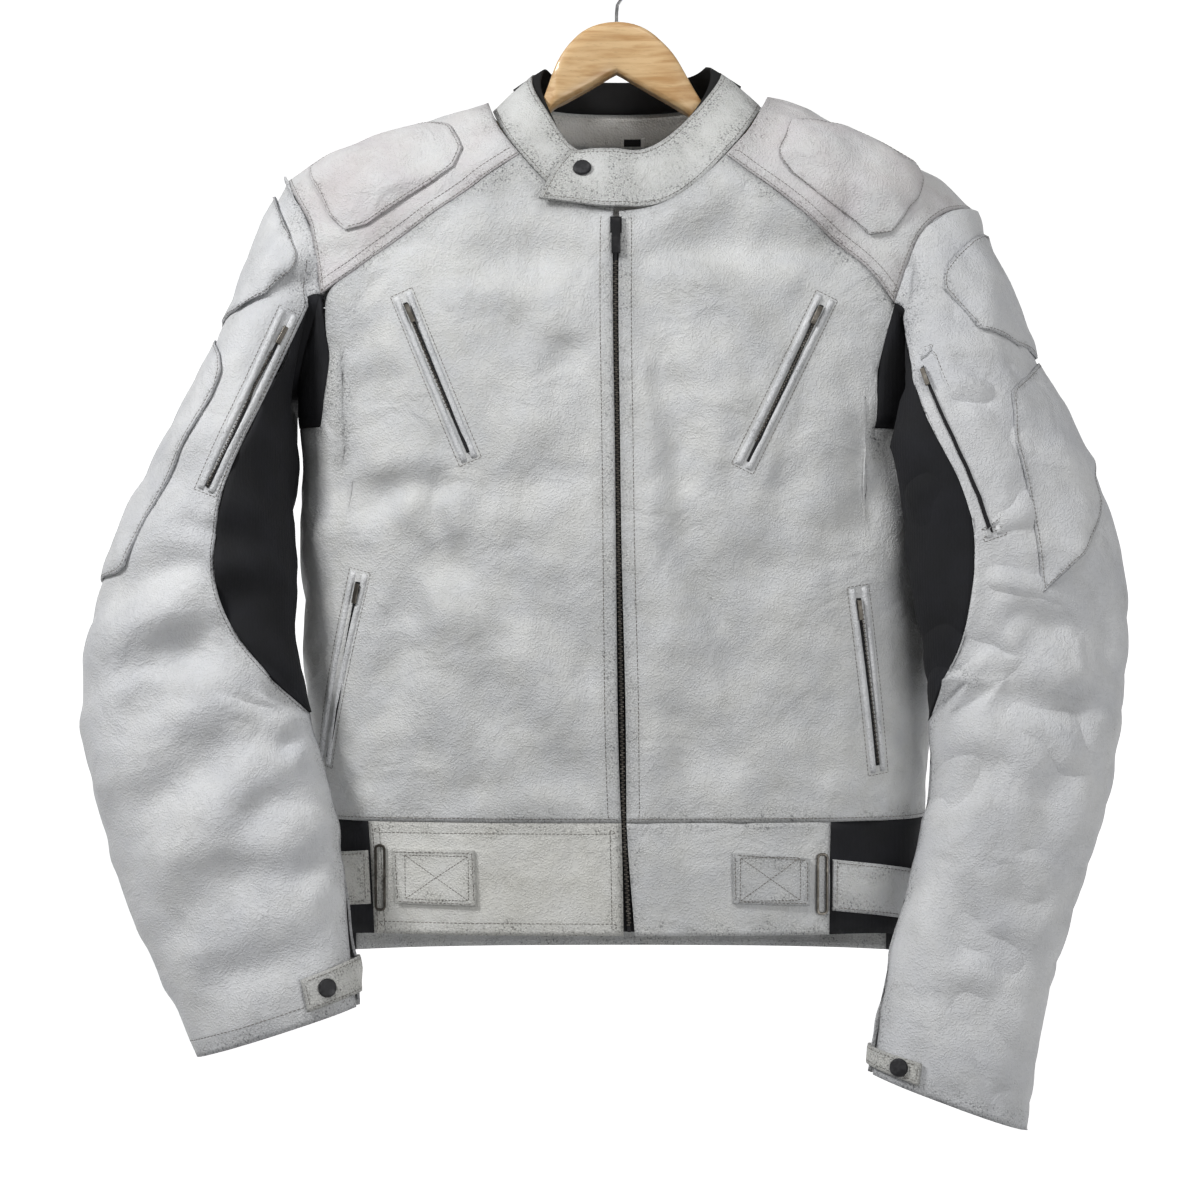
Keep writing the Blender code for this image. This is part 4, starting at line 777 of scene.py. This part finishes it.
def ribbon(name, line, section, material, sides=None, taper=True):
    """A strip along a line of (point, normal), whose section is (offset, height) pairs in mm."""
    rows, across = len(line), len(section)
    deselect()
    bpy.ops.mesh.primitive_grid_add(x_subdivisions=across - 1, y_subdivisions=rows - 1, size=1.0)
    piece = bpy.context.object
    piece.name = name
    placed = np.zeros((rows, across, 3))
    for i, (point, normal) in enumerate(line):
        ahead = line[min(i + 1, rows - 1)][0] - line[max(i - 1, 0)][0]
        side = sides[i] if sides else ahead.normalized().cross(normal).normalized()
        ends = min(i, rows - 1 - i)
        low = 0.25 if taper and ends == 0 else 1.0
        for j, (offset, height) in enumerate(section):
            lift = height * low if height > 0 else height
            placed[i, j] = (point + side * offset * MM + normal * lift * MM)[:]
    put_coordinates(piece.data, placed.reshape(-1, 3))
    choose(piece)
    bm = bmesh.new()
    bm.from_mesh(piece.data)
    bm.faces.ensure_lookup_table()
    middle = bm.faces[len(bm.faces) // 2]
    outward = line[rows // 2][1]
    if middle.normal.dot(outward) < 0:
        bmesh.ops.reverse_faces(bm, faces=bm.faces)
    bm.to_mesh(piece.data)
    bm.free()
    piece.data.shade_smooth()
    modify(piece, "SOLIDIFY", thickness=0.5 * MM, offset=-1.0)
    if "seam" not in piece.data.attributes:
        layer = piece.data.attributes.new("seam", "FLOAT", "POINT")
        layer.data.foreach_set("value", np.full(len(piece.data.vertices), 0.35, np.float32))
    return dress(piece, material)


# ---------------------------------------------------------------- the finishes of this jacket

def finishes():
    """The jacket's finishes by name; the panel's colours tint the leather."""
    looks = bpy.context.scene.jacket_looks
    pale, grey = tuple(looks.leather_colour) + (1.0,), tuple(looks.stain_colour) + (1.0,)
    return {
        "body": leather("body_leather", pale, grey, 0.45, 0.10),
        "yoke": leather("yoke_leather", pale, srgb(186, 176, 180), 0.40, 0.08),
        "arm": leather("arm_leather", srgb(207, 208, 210), srgb(180, 182, 187), 0.50, 0.06),
        "band": leather("band_leather", srgb(212, 212, 209), srgb(192, 191, 186), 0.55, 0.10),
        "collar": leather("collar_leather", srgb(204, 205, 204), srgb(174, 175, 174), 0.72, 0.05),
        "cuff": leather("cuff_leather", srgb(207, 207, 205), srgb(180, 180, 176), 0.65, 0.10),
        "lip": leather("lip_leather", srgb(214, 215, 216), srgb(186, 188, 192), 0.45, 0.0),
        "facing": leather("facing_leather", srgb(226, 226, 224), srgb(204, 203, 200), 0.30, 0.1),
        "stretch": knit("stretch_knit", srgb(6, 7, 11), srgb(17, 18, 25)),
        "lining": knit("lining_cloth", srgb(8, 8, 10), srgb(19, 19, 21), 1500.0),
        "tape": tape("zip_tape_weave"),
        "metal": metal("dark_metal_worn", srgb(92, 88, 82), 0.28),
        "black": metal("black_enamel", srgb(24, 24, 26), 0.30, 0.35),
        "snap": metal("snap_enamel", srgb(40, 40, 42), 0.42, 0.5),
        "wood": wood("hanger_wood", srgb(214, 181, 135), srgb(184, 142, 92)),
        "wire": metal("chrome_wire", srgb(205, 206, 208), 0.12),
        "thread": thread("grey_thread", tuple(looks.thread_colour) + (1.0,)),
    }


# Each cloth piece: finish, slot, how it is held, levels of smoothing, length of its cut in m and the share
# that the cut takes of the rectangle around it
CLOTH = {
    # node: finish, slot, held, levels, length, share of its rectangle
    "back": ("body", "light_leather", "hung", 3, 0.534, 0.9),
    "front_r": ("body", "light_leather", "hung", 3, 0.515, 0.9),
    "front_l": ("body", "light_leather", "hung", 3, 0.514, 0.9),
    "yoke_r": ("yoke", "light_leather", "draped", 3, 0.191, 0.8),
    "yoke_l": ("yoke", "light_leather", "draped", 3, 0.189, 0.8),
    "side_r": ("stretch", "black_stretch", "hung", 2, 0.109, 0.53),
    "side_l": ("stretch", "black_stretch", "hung", 2, 0.128, 0.71),
    "sleeve_r": ("arm", "light_leather", "hung", 3, 0.668, 0.8),
    "sleeve_l": ("arm", "light_leather", "hung", 3, 0.697, 0.8),
    "stretch_r": ("stretch", "black_stretch", "hung", 2, 0.333, 0.8),
    "stretch_l": ("stretch", "black_stretch", "hung", 2, 0.335, 0.8),
    "waist_front_r": ("band", "light_leather", "hung", 3, 0.086, 0.99),
    "waist_front_l": ("body", "light_leather", "hung", 3, 0.086, 0.99),
    "waist_side_r": ("stretch", "black_stretch", "hung", 2, 0.107, 0.99),
    "waist_side_l": ("stretch", "black_stretch", "hung", 2, 0.107, 0.99),
    "waist_back": ("body", "light_leather", "hung", 3, 0.107, 0.99),
    "collar": ("collar", "light_leather", "folded", 3, 0.05, 0.99),
    "collar_lining": ("lining", "black_lining", "folded", 2, 0.024, 0.99),
    "neck_facing": ("facing", "light_leather", "hung", 3, 0.024, 0.99),
    "cuff_tab_r": ("cuff", "light_leather", "laid", 2, 0.03, 0.99),
    "cuff_tab_l": ("cuff", "light_leather", "laid", 2, 0.024, 0.8),
    "strap_r": ("band", "light_leather", "laid", 2, 0.042, 0.99),
    "strap_l": ("body", "light_leather", "laid", 2, 0.041, 0.99),
    "strap_tab_r": ("band", "light_leather", "laid", 2, 0.041, 0.99),
    "strap_tab_l": ("body", "light_leather", "laid", 2, 0.038, 0.99),
}
PADS = {
    # node: finish, how full it is
    "yoke_pad_r": ("yoke", 0.6), "yoke_pad_l": ("yoke", 0.6),
    "arm_pad_r": ("arm", 0.7), "arm_pad_l": ("arm", 0.7),
    "elbow_pad_r": ("arm", 0.5), "elbow_pad_l": ("arm", 0.5),
}

MADE = {}


def cloth_piece(node):
    """Makes one cloth piece, folded and shaded."""
    looks = finishes()
    finish, slot, held, levels, length, share = CLOTH[node]
    cloth = Cloth(node, levels)
    cloth.shade_seams()
    dress(cloth.piece, looks[finish])
    area = whole_area(cloth.piece) / 2
    width = area / share / length
    MADE[node] = cloth
    return cloth


def pad_piece(node):
    looks = finishes()
    finish, fill = PADS[node]
    cloth = Cloth(node, 3)
    cloth.shade_seams(12.0)
    dress(cloth.piece, looks[finish])
    MADE[node] = cloth
    return cloth


# ---------------------------------------------------------------- seams and stitches

# Rows of stitches beside an edge, in mm
EDGE_ROWS = [
    # node, a place near the middle of the edge, distances from the edge
    ("yoke_r", (-146, -60, -220), (1.8, 8.6)), ("yoke_l", (146, -60, -215), (1.8, 8.6)),
    ("yoke_r", (-240, -10, -205), (3.0,)), ("yoke_l", (238, -10, -205), (3.0,)),
    ("yoke_r", (-130, 60, -200), (1.8, 8.6)), ("yoke_l", (130, 60, -200), (1.8, 8.6)),
    ("front_r", (-5, -118, -430), (9.5,)), ("front_l", (5, -118, -430), (9.5,)),
    ("waist_front_r", (-95, -110, -662), (8.0,)), ("waist_front_l", (85, -110, -662), (8.0,)),
    ("waist_front_r", (-95, -110, -747), (9.0,)), ("waist_front_l", (85, -110, -747), (9.0,)),
    ("waist_front_r", (-182, -90, -705), (3.0, 8.5)), ("waist_front_l", (158, -90, -705), (3.0, 8.5)),
    ("waist_front_r", (2, -118, -705), (8.5,)), ("waist_front_l", (8, -118, -705), (8.5,)),
    ("waist_back", (0, 80, -662), (8.0,)), ("waist_back", (0, 80, -752), (9.0,)),
    ("back", (0, 80, -662), (2.5,)), ("back", (0, 60, -160), (2.5,)),
    ("front_r", (-100, -110, -662), (2.5,)), ("front_l", (90, -110, -662), (2.5,)),
    ("sleeve_r", (-225, -100, -835), (13.0,)), ("sleeve_l", (240, -105, -868), (13.0,)),
    ("sleeve_r", (-262, -85, -470), (2.4,)), ("sleeve_l", (258, -85, -470), (2.4,)),
    ("sleeve_r", (-262, -20, -470), (2.4,)), ("sleeve_l", (258, -20, -470), (2.4,)),
]


def trim_edges(looks):
    for node, place, distances in EDGE_ROWS:
        cloth = MADE[node]
        run = cloth.edge(*place)
        for distance in distances:
            stitch("body", inset(cloth, run, distance))
    sew("body", "body_stitches", looks["thread"])


# ---------------------------------------------------------------- pockets and zips

def node_points(node):
    return coordinates(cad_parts[node].data)


def long_ends(points):
    """The middle of each end of a long thin piece, the upper one first."""
    middle = points.mean(0)
    axis = np.linalg.svd(points - middle, full_matrices=False)[2][0]
    axis = axis if axis[2] > 0 else -axis
    reach = (points - middle) @ axis
    return [points[np.abs(reach - end) < 0.004].mean(0) for end in (reach.max(), reach.min())]


def half_round(near, far, height, steps=6):
    """A half-round section from one offset to another, in mm."""
    made = []
    for i in range(steps + 1):
        part = i / steps
        made.append((near + (far - near) * part, height * math.sin(math.pi * part) ** 0.6 - 0.25))
    return made


POCKETS = {
    # pocket: the cloth it is sewn into
    "chest_pocket_r": "front_r", "chest_pocket_l": "front_l",
    "hand_pocket_r": "front_r", "hand_pocket_l": "front_l",
    "arm_pocket_r": "sleeve_r", "arm_pocket_l": "sleeve_l",
}
LIP_WIDTH, LIP_HEIGHT = 5.2, 2.1
LIP_GAP = 1.5          # half of the gap between the lips, wider near the slider
LIP_OPEN = 1.0         # how much wider the gap is at the top
ZIP_PITCH, ZIP_TOOTH = 1.7, 1.15
TOOTH_OFFSET = 0.22    # how far a tooth stands to its side, for its width
STITCH_AWAY = 2.2      # from a lip to its stitches
PAST_END = 0.012       # share of a pocket's length from its end to the stitches across


def pocket_line(cloth, top, bottom, aside, first=0.0, last=1.0):
    """A line down a pocket at a distance to one side, in mm, which may change from top to bottom."""
    run = Vector(bottom) - Vector(top)
    count = max(4, int(run.length / (STEP * MM)))
    line = []
    for i in range(count + 1):
        part = first + (last - first) * i / count
        place, normal, _, _ = cloth.ground().find_nearest(Vector(top) + run * part)
        side = run.normalized().cross(normal).normalized()
        distance = aside(part) if callable(aside) else aside
        line.append(settle(cloth, place + side * distance * MM))
    return line


def make_pocket(pocket, looks):
    cloth = MADE[POCKETS[pocket]]
    top, bottom = long_ends(node_points(pocket + "_welt"))
    for name, sign in (("a", -1), ("b", 1)):
        line = pocket_line(cloth, top, bottom, lambda part: sign * (LIP_GAP + LIP_OPEN * (1 - part) ** 2))
        section = half_round(0.0, sign * LIP_WIDTH, LIP_HEIGHT)
        ribbon(f"{pocket}_lip_{name}", line, section, looks["lip"],
                           sides=sides_of(line, top, bottom))
    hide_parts(pocket + "_welt")
    edge = LIP_GAP + LIP_WIDTH + STITCH_AWAY
    for sign in (-1, 1):
        stitch("pockets", pocket_line(cloth, top, bottom, sign * edge, -PAST_END, 1 + PAST_END))
    for end in (-PAST_END, 1 + PAST_END):
        across = [pocket_line(cloth, top, bottom, sign * edge, end, end)[0] for sign in (-1, 0, 1)]
        stitch("pockets", across)


def sides_of(line, top, bottom):
    run = (Vector(bottom) - Vector(top)).normalized()
    return [run.cross(normal).normalized() for _, normal in line]


def teeth(name, line, looks, width, height):
    """Zip teeth along a line, from side to side in turn, as one piece."""
    line = even(line, ZIP_PITCH)
    deselect()
    bpy.ops.mesh.primitive_cube_add(size=1.0)
    modify(bpy.context.object, "BEVEL", width=0.18, segments=1)
    block, faces = take_model()
    size = np.array((width, ZIP_TOOTH, height)) * MM
    places = []
    for i, (place, normal) in enumerate(line[:-1]):
        along = (line[i + 1][0] - place).normalized()
        side = along.cross(normal).normalized() * (1 if i % 2 else -1)
        axes = np.array([side[:], along[:], normal[:]])
        places.append((place + side * width * TOOTH_OFFSET * MM, axes, size))
    piece = copies(name, block, faces, places)
    modify(piece, "WEIGHTED_NORMAL")
    return dress(piece, looks["metal"])


def surface_of(node):
    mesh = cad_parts[node].data
    return BVHTree.FromPolygons([v.co for v in mesh.vertices], [tuple(p.vertices) for p in mesh.polygons])


def pocket_teeth(pocket, looks):
    tree = surface_of(pocket + "_zip")
    top, bottom = (Vector(end) for end in long_ends(node_points(pocket + "_welt")))
    cloth = MADE[POCKETS[pocket]]
    run = bottom - top
    line = []
    count = int(run.length / (2 * MM))
    for i in range(count + 1):
        part = 0.12 + 0.86 * i / count
        place, normal, _, _ = cloth.ground().find_nearest(top + run * part)
        hit = tree.ray_cast(place + normal * 0.008, -normal)
        if hit[0] is not None:
            line.append((hit[0] + normal * 0.15 * MM, normal))
    if len(line) > 4:
        teeth(pocket + "_teeth", line, looks, 1.5, 0.7)


def zip_ridge():
    """The middle of the front zip, from the top down, as points and normals."""
    points = node_points("front_zip")
    tree = surface_of("front_zip")
    levels = np.unique(np.round(points[:, 2], 4))[::-1]
    rows = [(level, points[np.abs(points[:, 2] - level) < 0.0012]) for level in levels]
    rows = [(level, row[:, 0].mean()) for level, row in rows if len(row) >= 4]
    heights = np.array([r[0] for r in rows])[::-1]
    places = np.array([r[1] for r in rows])[::-1]
    line = []
    for z in np.arange(points[:, 2].max() - 0.034, points[:, 2].min() + 0.002, -0.004):
        x = float(np.interp(z, heights, places))
        hit = tree.ray_cast(Vector((x, -0.4, float(z))), Vector((0, 1, 0)))
        if hit[0] is not None:
            line.append((hit[0] + Vector((0, -0.1 * MM, 0)), Vector((0, -1, 0))))
    return line


# ---------------------------------------------------------------- straps, cuffs, collar and pads

def outline_rows(group, cloth, distance):
    """Stitches all round a piece at a distance in mm from its edge."""
    for run in cloth.edges:
        stitch(group, inset(cloth, run, distance, distance, distance))


BOX_SHARE = 0.8        # size of the stitched box for its tab
BOX_STEP, BOX_PITCH = 1.5, 2.6


def cross_box(cloth, group):
    """A stitched box with a cross in it on a small tab."""
    points = coordinates(cloth.piece.data)[[v for i in cloth.outer_faces
                                            for v in cloth.piece.data.polygons[i].vertices]]
    low, high = points.min(0) / MM, points.max(0) / MM
    middle, half = (low + high) / 2, (high - low) / 2 * BOX_SHARE
    y = low[1]
    corners = [(middle[0] + sx * half[0], y, middle[2] + sz * half[2])
               for sx, sz in ((-1, 1), (1, 1), (1, -1), (-1, -1), (-1, 1))]
    for line in (corners, corners[0:3:2], corners[1:4:2]):
        stitch(group, lay(cloth, line, BOX_STEP), BOX_PITCH)


LABEL = (12.6, 0.0, -142.0)    # place in front of the bare label inside the neck, in mm
LOOPS = (-8.0, 8.0)            # its hanging loops, from side to side


def make_label(looks):
    """A bare woven label and its two light loops, sewn to the facing inside the neck."""
    tree = surface_of("neck_facing")
    x, _, z = LABEL
    for name, middle, half, width, finish, slot in (
            ("label", 0.0, 6.5, 5.6, "tape", "zip_tape"),
            ("loop_a", LOOPS[0], 1.3, 7.4, "facing", "light_leather"),
            ("loop_b", LOOPS[1], 1.3, 7.4, "facing", "light_leather")):
        line = []
        for aside in np.linspace(middle - half, middle + half, 9):
            hit = tree.ray_cast(Vector((x + aside, 0.0, z)) * MM, Vector((0, 1, 0)))
            if hit[0] is not None:
                line.append((hit[0], Vector((0, -1, 0))))
        section = [(offset, 0.9) for offset in np.linspace(-width / 2, width / 2, 5)]
        ribbon("neck_" + name, line, section, looks[finish], taper=False)


def assign(node, material):
    """Gives a CAD node that stays a better finish."""
    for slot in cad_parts[node].material_slots:
        slot.material = material


def smooth_copy(node, material):
    """A rounded copy of a hard piece, which stands for it."""
    piece = copy_of(node, node + "_smooth")
    crease_sharp(piece, 35.0, 0.8)
    modify(piece, "SUBSURF", levels=2, render_levels=2)
    dress(piece, material)
    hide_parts(node)
    return piece


# ---------------------------------------------------------------- the add-on

class JacketLooks(bpy.types.PropertyGroup):
    leather_colour: bpy.props.FloatVectorProperty(
        name="Leather", subtype="COLOR", size=3, default=srgb(205, 206, 207)[:3],
        description="Colour of the clean leather")
    stain_colour: bpy.props.FloatVectorProperty(
        name="Shade", subtype="COLOR", size=3, default=srgb(172, 174, 177)[:3],
        description="Colour of the greyer patches of the leather")
    thread_colour: bpy.props.FloatVectorProperty(
        name="Thread", subtype="COLOR", size=3, default=srgb(122, 117, 110)[:3],
        description="Colour of the sewing thread")
    key_light: bpy.props.FloatProperty(
        name="Key light", default=30.0, min=0.0, description="Power of the main lamp in watts")


CAMERA_PLACE = (-0.0126, -2.475, -0.4977)
LENS = 97.3
SKY = 0.20              # strength of the light from all round
BACKDROP_BEHIND = 3.6   # far enough for a view from behind
BACKDROP_WIDTH = 9.0
FLOOR_BELOW = 1.9
FLOOR_DEPTH = 4.0
WALL_HEIGHT = 5.0
FLOOR_PART, BEND_PART = 0.7, 0.6   # shares of the backdrop that lie flat and that bend up


class JACKET_OT_stage(bpy.types.Operator):
    """Camera, lamps and a white backdrop"""
    bl_idname = "jacket.stage"
    bl_label = "Stage"

    def execute(self, context):
        scene = context.scene
        deselect()
        bpy.ops.object.camera_add(location=CAMERA_PLACE, rotation=(math.pi / 2, 0, 0))
        camera = context.object
        camera.data.lens = LENS
        camera.data.sensor_width = 36.0
        scene.camera = camera
        scene.view_settings.view_transform = "Standard"
        world = bpy.data.worlds.new("studio")
        world.use_nodes = True
        sky = world.node_tree.nodes["Background"]
        sky.inputs["Color"].default_value = (1.0, 1.0, 1.0, 1.0)
        sky.inputs["Strength"].default_value = SKY
        scene.world = world
        lamps = (
            # name, place, aim, size, power
            ("key", (-1.35, -1.0, 0.75), (0.0, 0.0, -0.5), 0.45, scene.jacket_looks.key_light),
            ("fill", (1.25, -2.1, -0.45), (0.15, 0.0, -0.55), 1.2, 19.0),
            ("top", (0.3, -0.9, 1.3), (0.0, 0.0, -0.4), 0.8, 8.0),
        )
        for name, place, aim, size, power in lamps:
            bpy.ops.object.light_add(type="AREA", location=place)
            lamp = context.object
            lamp.name = name
            lamp.data.size = size
            lamp.data.energy = power
            direction = Vector(aim) - Vector(place)
            lamp.rotation_euler = direction.to_track_quat("-Z", "Y").to_euler()
        bpy.ops.mesh.primitive_grid_add(x_subdivisions=2, y_subdivisions=24, size=1.0)
        sweep = context.object
        sweep.name = "backdrop"
        points = coordinates(sweep.data)
        part = (points[:, 1] + 0.5) * 2
        wide = points[:, 0] * BACKDROP_WIDTH
        bend = np.clip(part - FLOOR_PART, 0, BEND_PART) / BEND_PART * math.pi / 2
        back = np.where(part < FLOOR_PART, (part / FLOOR_PART - 1) * FLOOR_DEPTH, np.sin(bend))
        rise = 1 - np.cos(bend) + np.clip(part - 1.3, 0, 1) * WALL_HEIGHT
        put_coordinates(sweep.data, np.stack([wide, back + BACKDROP_BEHIND, rise - FLOOR_BELOW], 1))
        sweep.data.shade_smooth()
        ground = Finish("white_ground")
        ground.set(Base_Color=ground.mix(ground.noise(2.0), srgb(250, 250, 250), srgb(252, 252, 252)),
                   Roughness=0.95, Emission_Color=(1.0, 1.0, 1.0, 1.0), Emission_Strength=0.6)
        sweep.data.materials.append(ground.material)
        deselect()
        return {"FINISHED"}


class JACKET_OT_cloth(bpy.types.Operator):
    """The cloth pieces of the body, the sleeves, the collar and the waistband"""
    bl_idname = "jacket.cloth"
    bl_label = "Cloth"

    def execute(self, context):
        for node in CLOTH:
            cloth_piece(node)
        return {"FINISHED"}


class JACKET_OT_pads(bpy.types.Operator):
    """The sewn-on pads of the shoulders, arms and elbows"""
    bl_idname = "jacket.pads"
    bl_label = "Pads"

    def execute(self, context):
        looks = finishes()
        for node in PADS:
            outline_rows("pads", pad_piece(node), 2.0)
        sew("pads", "pad_stitches", looks["thread"])
        return {"FINISHED"}


class JACKET_OT_seams(bpy.types.Operator):
    """The stitches along the seams"""
    bl_idname = "jacket.seams"
    bl_label = "Seams"

    def execute(self, context):
        trim_edges(finishes())
        return {"FINISHED"}


class JACKET_OT_pockets(bpy.types.Operator):
    """The lips, stitches and teeth of the six zip pockets"""
    bl_idname = "jacket.pockets"
    bl_label = "Pockets"

    def execute(self, context):
        looks = finishes()
        for pocket in POCKETS:
            make_pocket(pocket, looks)
            pocket_teeth(pocket, looks)
            assign(pocket + "_zip", looks["tape"])
            assign(pocket + "_pull", looks["metal"])
        sew("pockets", "pocket_stitches", looks["thread"])
        return {"FINISHED"}


class JACKET_OT_trimmings(bpy.types.Operator):
    """The front zip, the straps, the snaps, the rings and the cuffs"""
    bl_idname = "jacket.trimmings"
    bl_label = "Trimmings"

    def execute(self, context):
        looks = finishes()
        teeth("front_teeth", zip_ridge(), looks, 2.4, 0.9)
        assign("front_zip", looks["tape"])
        assign("front_pull", looks["black"])
        for side in SIDES:
            assign(f"cuff_zip_{side}", looks["tape"])
            assign(f"ring_{side}", looks["metal"])
            smooth_copy(f"cuff_snap_{side}", looks["snap"])
            for node in (f"cuff_tab_{side}", f"strap_{side}"):
                outline_rows("trimmings", MADE[node], 2.4)
            cross_box(MADE[f"strap_tab_{side}"], "trimmings")
            outline_rows("trimmings", MADE[f"strap_tab_{side}"], 1.6)
        smooth_copy("collar_snap", looks["snap"])
        outline_rows("trimmings", MADE["collar"], 3.2)
        make_label(looks)
        sew("trimmings", "trimming_stitches", looks["thread"])
        return {"FINISHED"}


class JACKET_OT_hanger(bpy.types.Operator):
    """The wooden hanger and its wire hook"""
    bl_idname = "jacket.hanger"
    bl_label = "Hanger"

    def execute(self, context):
        looks = finishes()
        smooth_copy("hanger", looks["wood"])
        assign("hanger_hook", looks["wire"])
        return {"FINISHED"}


OPERATORS = (
    JACKET_OT_stage, JACKET_OT_cloth, JACKET_OT_pads, JACKET_OT_seams, JACKET_OT_pockets,
    JACKET_OT_trimmings, JACKET_OT_hanger,
)


class JACKET_PT_panel(bpy.types.Panel):
    """Buttons and colours of the jacket"""
    bl_idname = "JACKET_PT_panel"
    bl_label = "Leather jacket"
    bl_space_type = "VIEW_3D"
    bl_region_type = "UI"
    bl_category = "Jacket"

    def draw(self, context):
        looks = context.scene.jacket_looks
        for name in ("leather_colour", "stain_colour", "thread_colour", "key_light"):
            self.layout.prop(looks, name)
        for operator in OPERATORS:
            self.layout.operator(operator.bl_idname)


def register():
    for kind in (JacketLooks, *OPERATORS, JACKET_PT_panel):
        bpy.utils.register_class(kind)
    bpy.types.Scene.jacket_looks = bpy.props.PointerProperty(type=JacketLooks)


def unregister():
    del bpy.types.Scene.jacket_looks
    for kind in reversed((JacketLooks, *OPERATORS, JACKET_PT_panel)):
        bpy.utils.unregister_class(kind)


def main():
    register()
    deselect()
    bpy.ops.jacket.stage()
    bpy.ops.jacket.cloth()
    bpy.ops.jacket.pads()
    bpy.ops.jacket.seams()
    bpy.ops.jacket.pockets()
    bpy.ops.jacket.trimmings()
    bpy.ops.jacket.hanger()


if __name__ == "__main__":
    main()
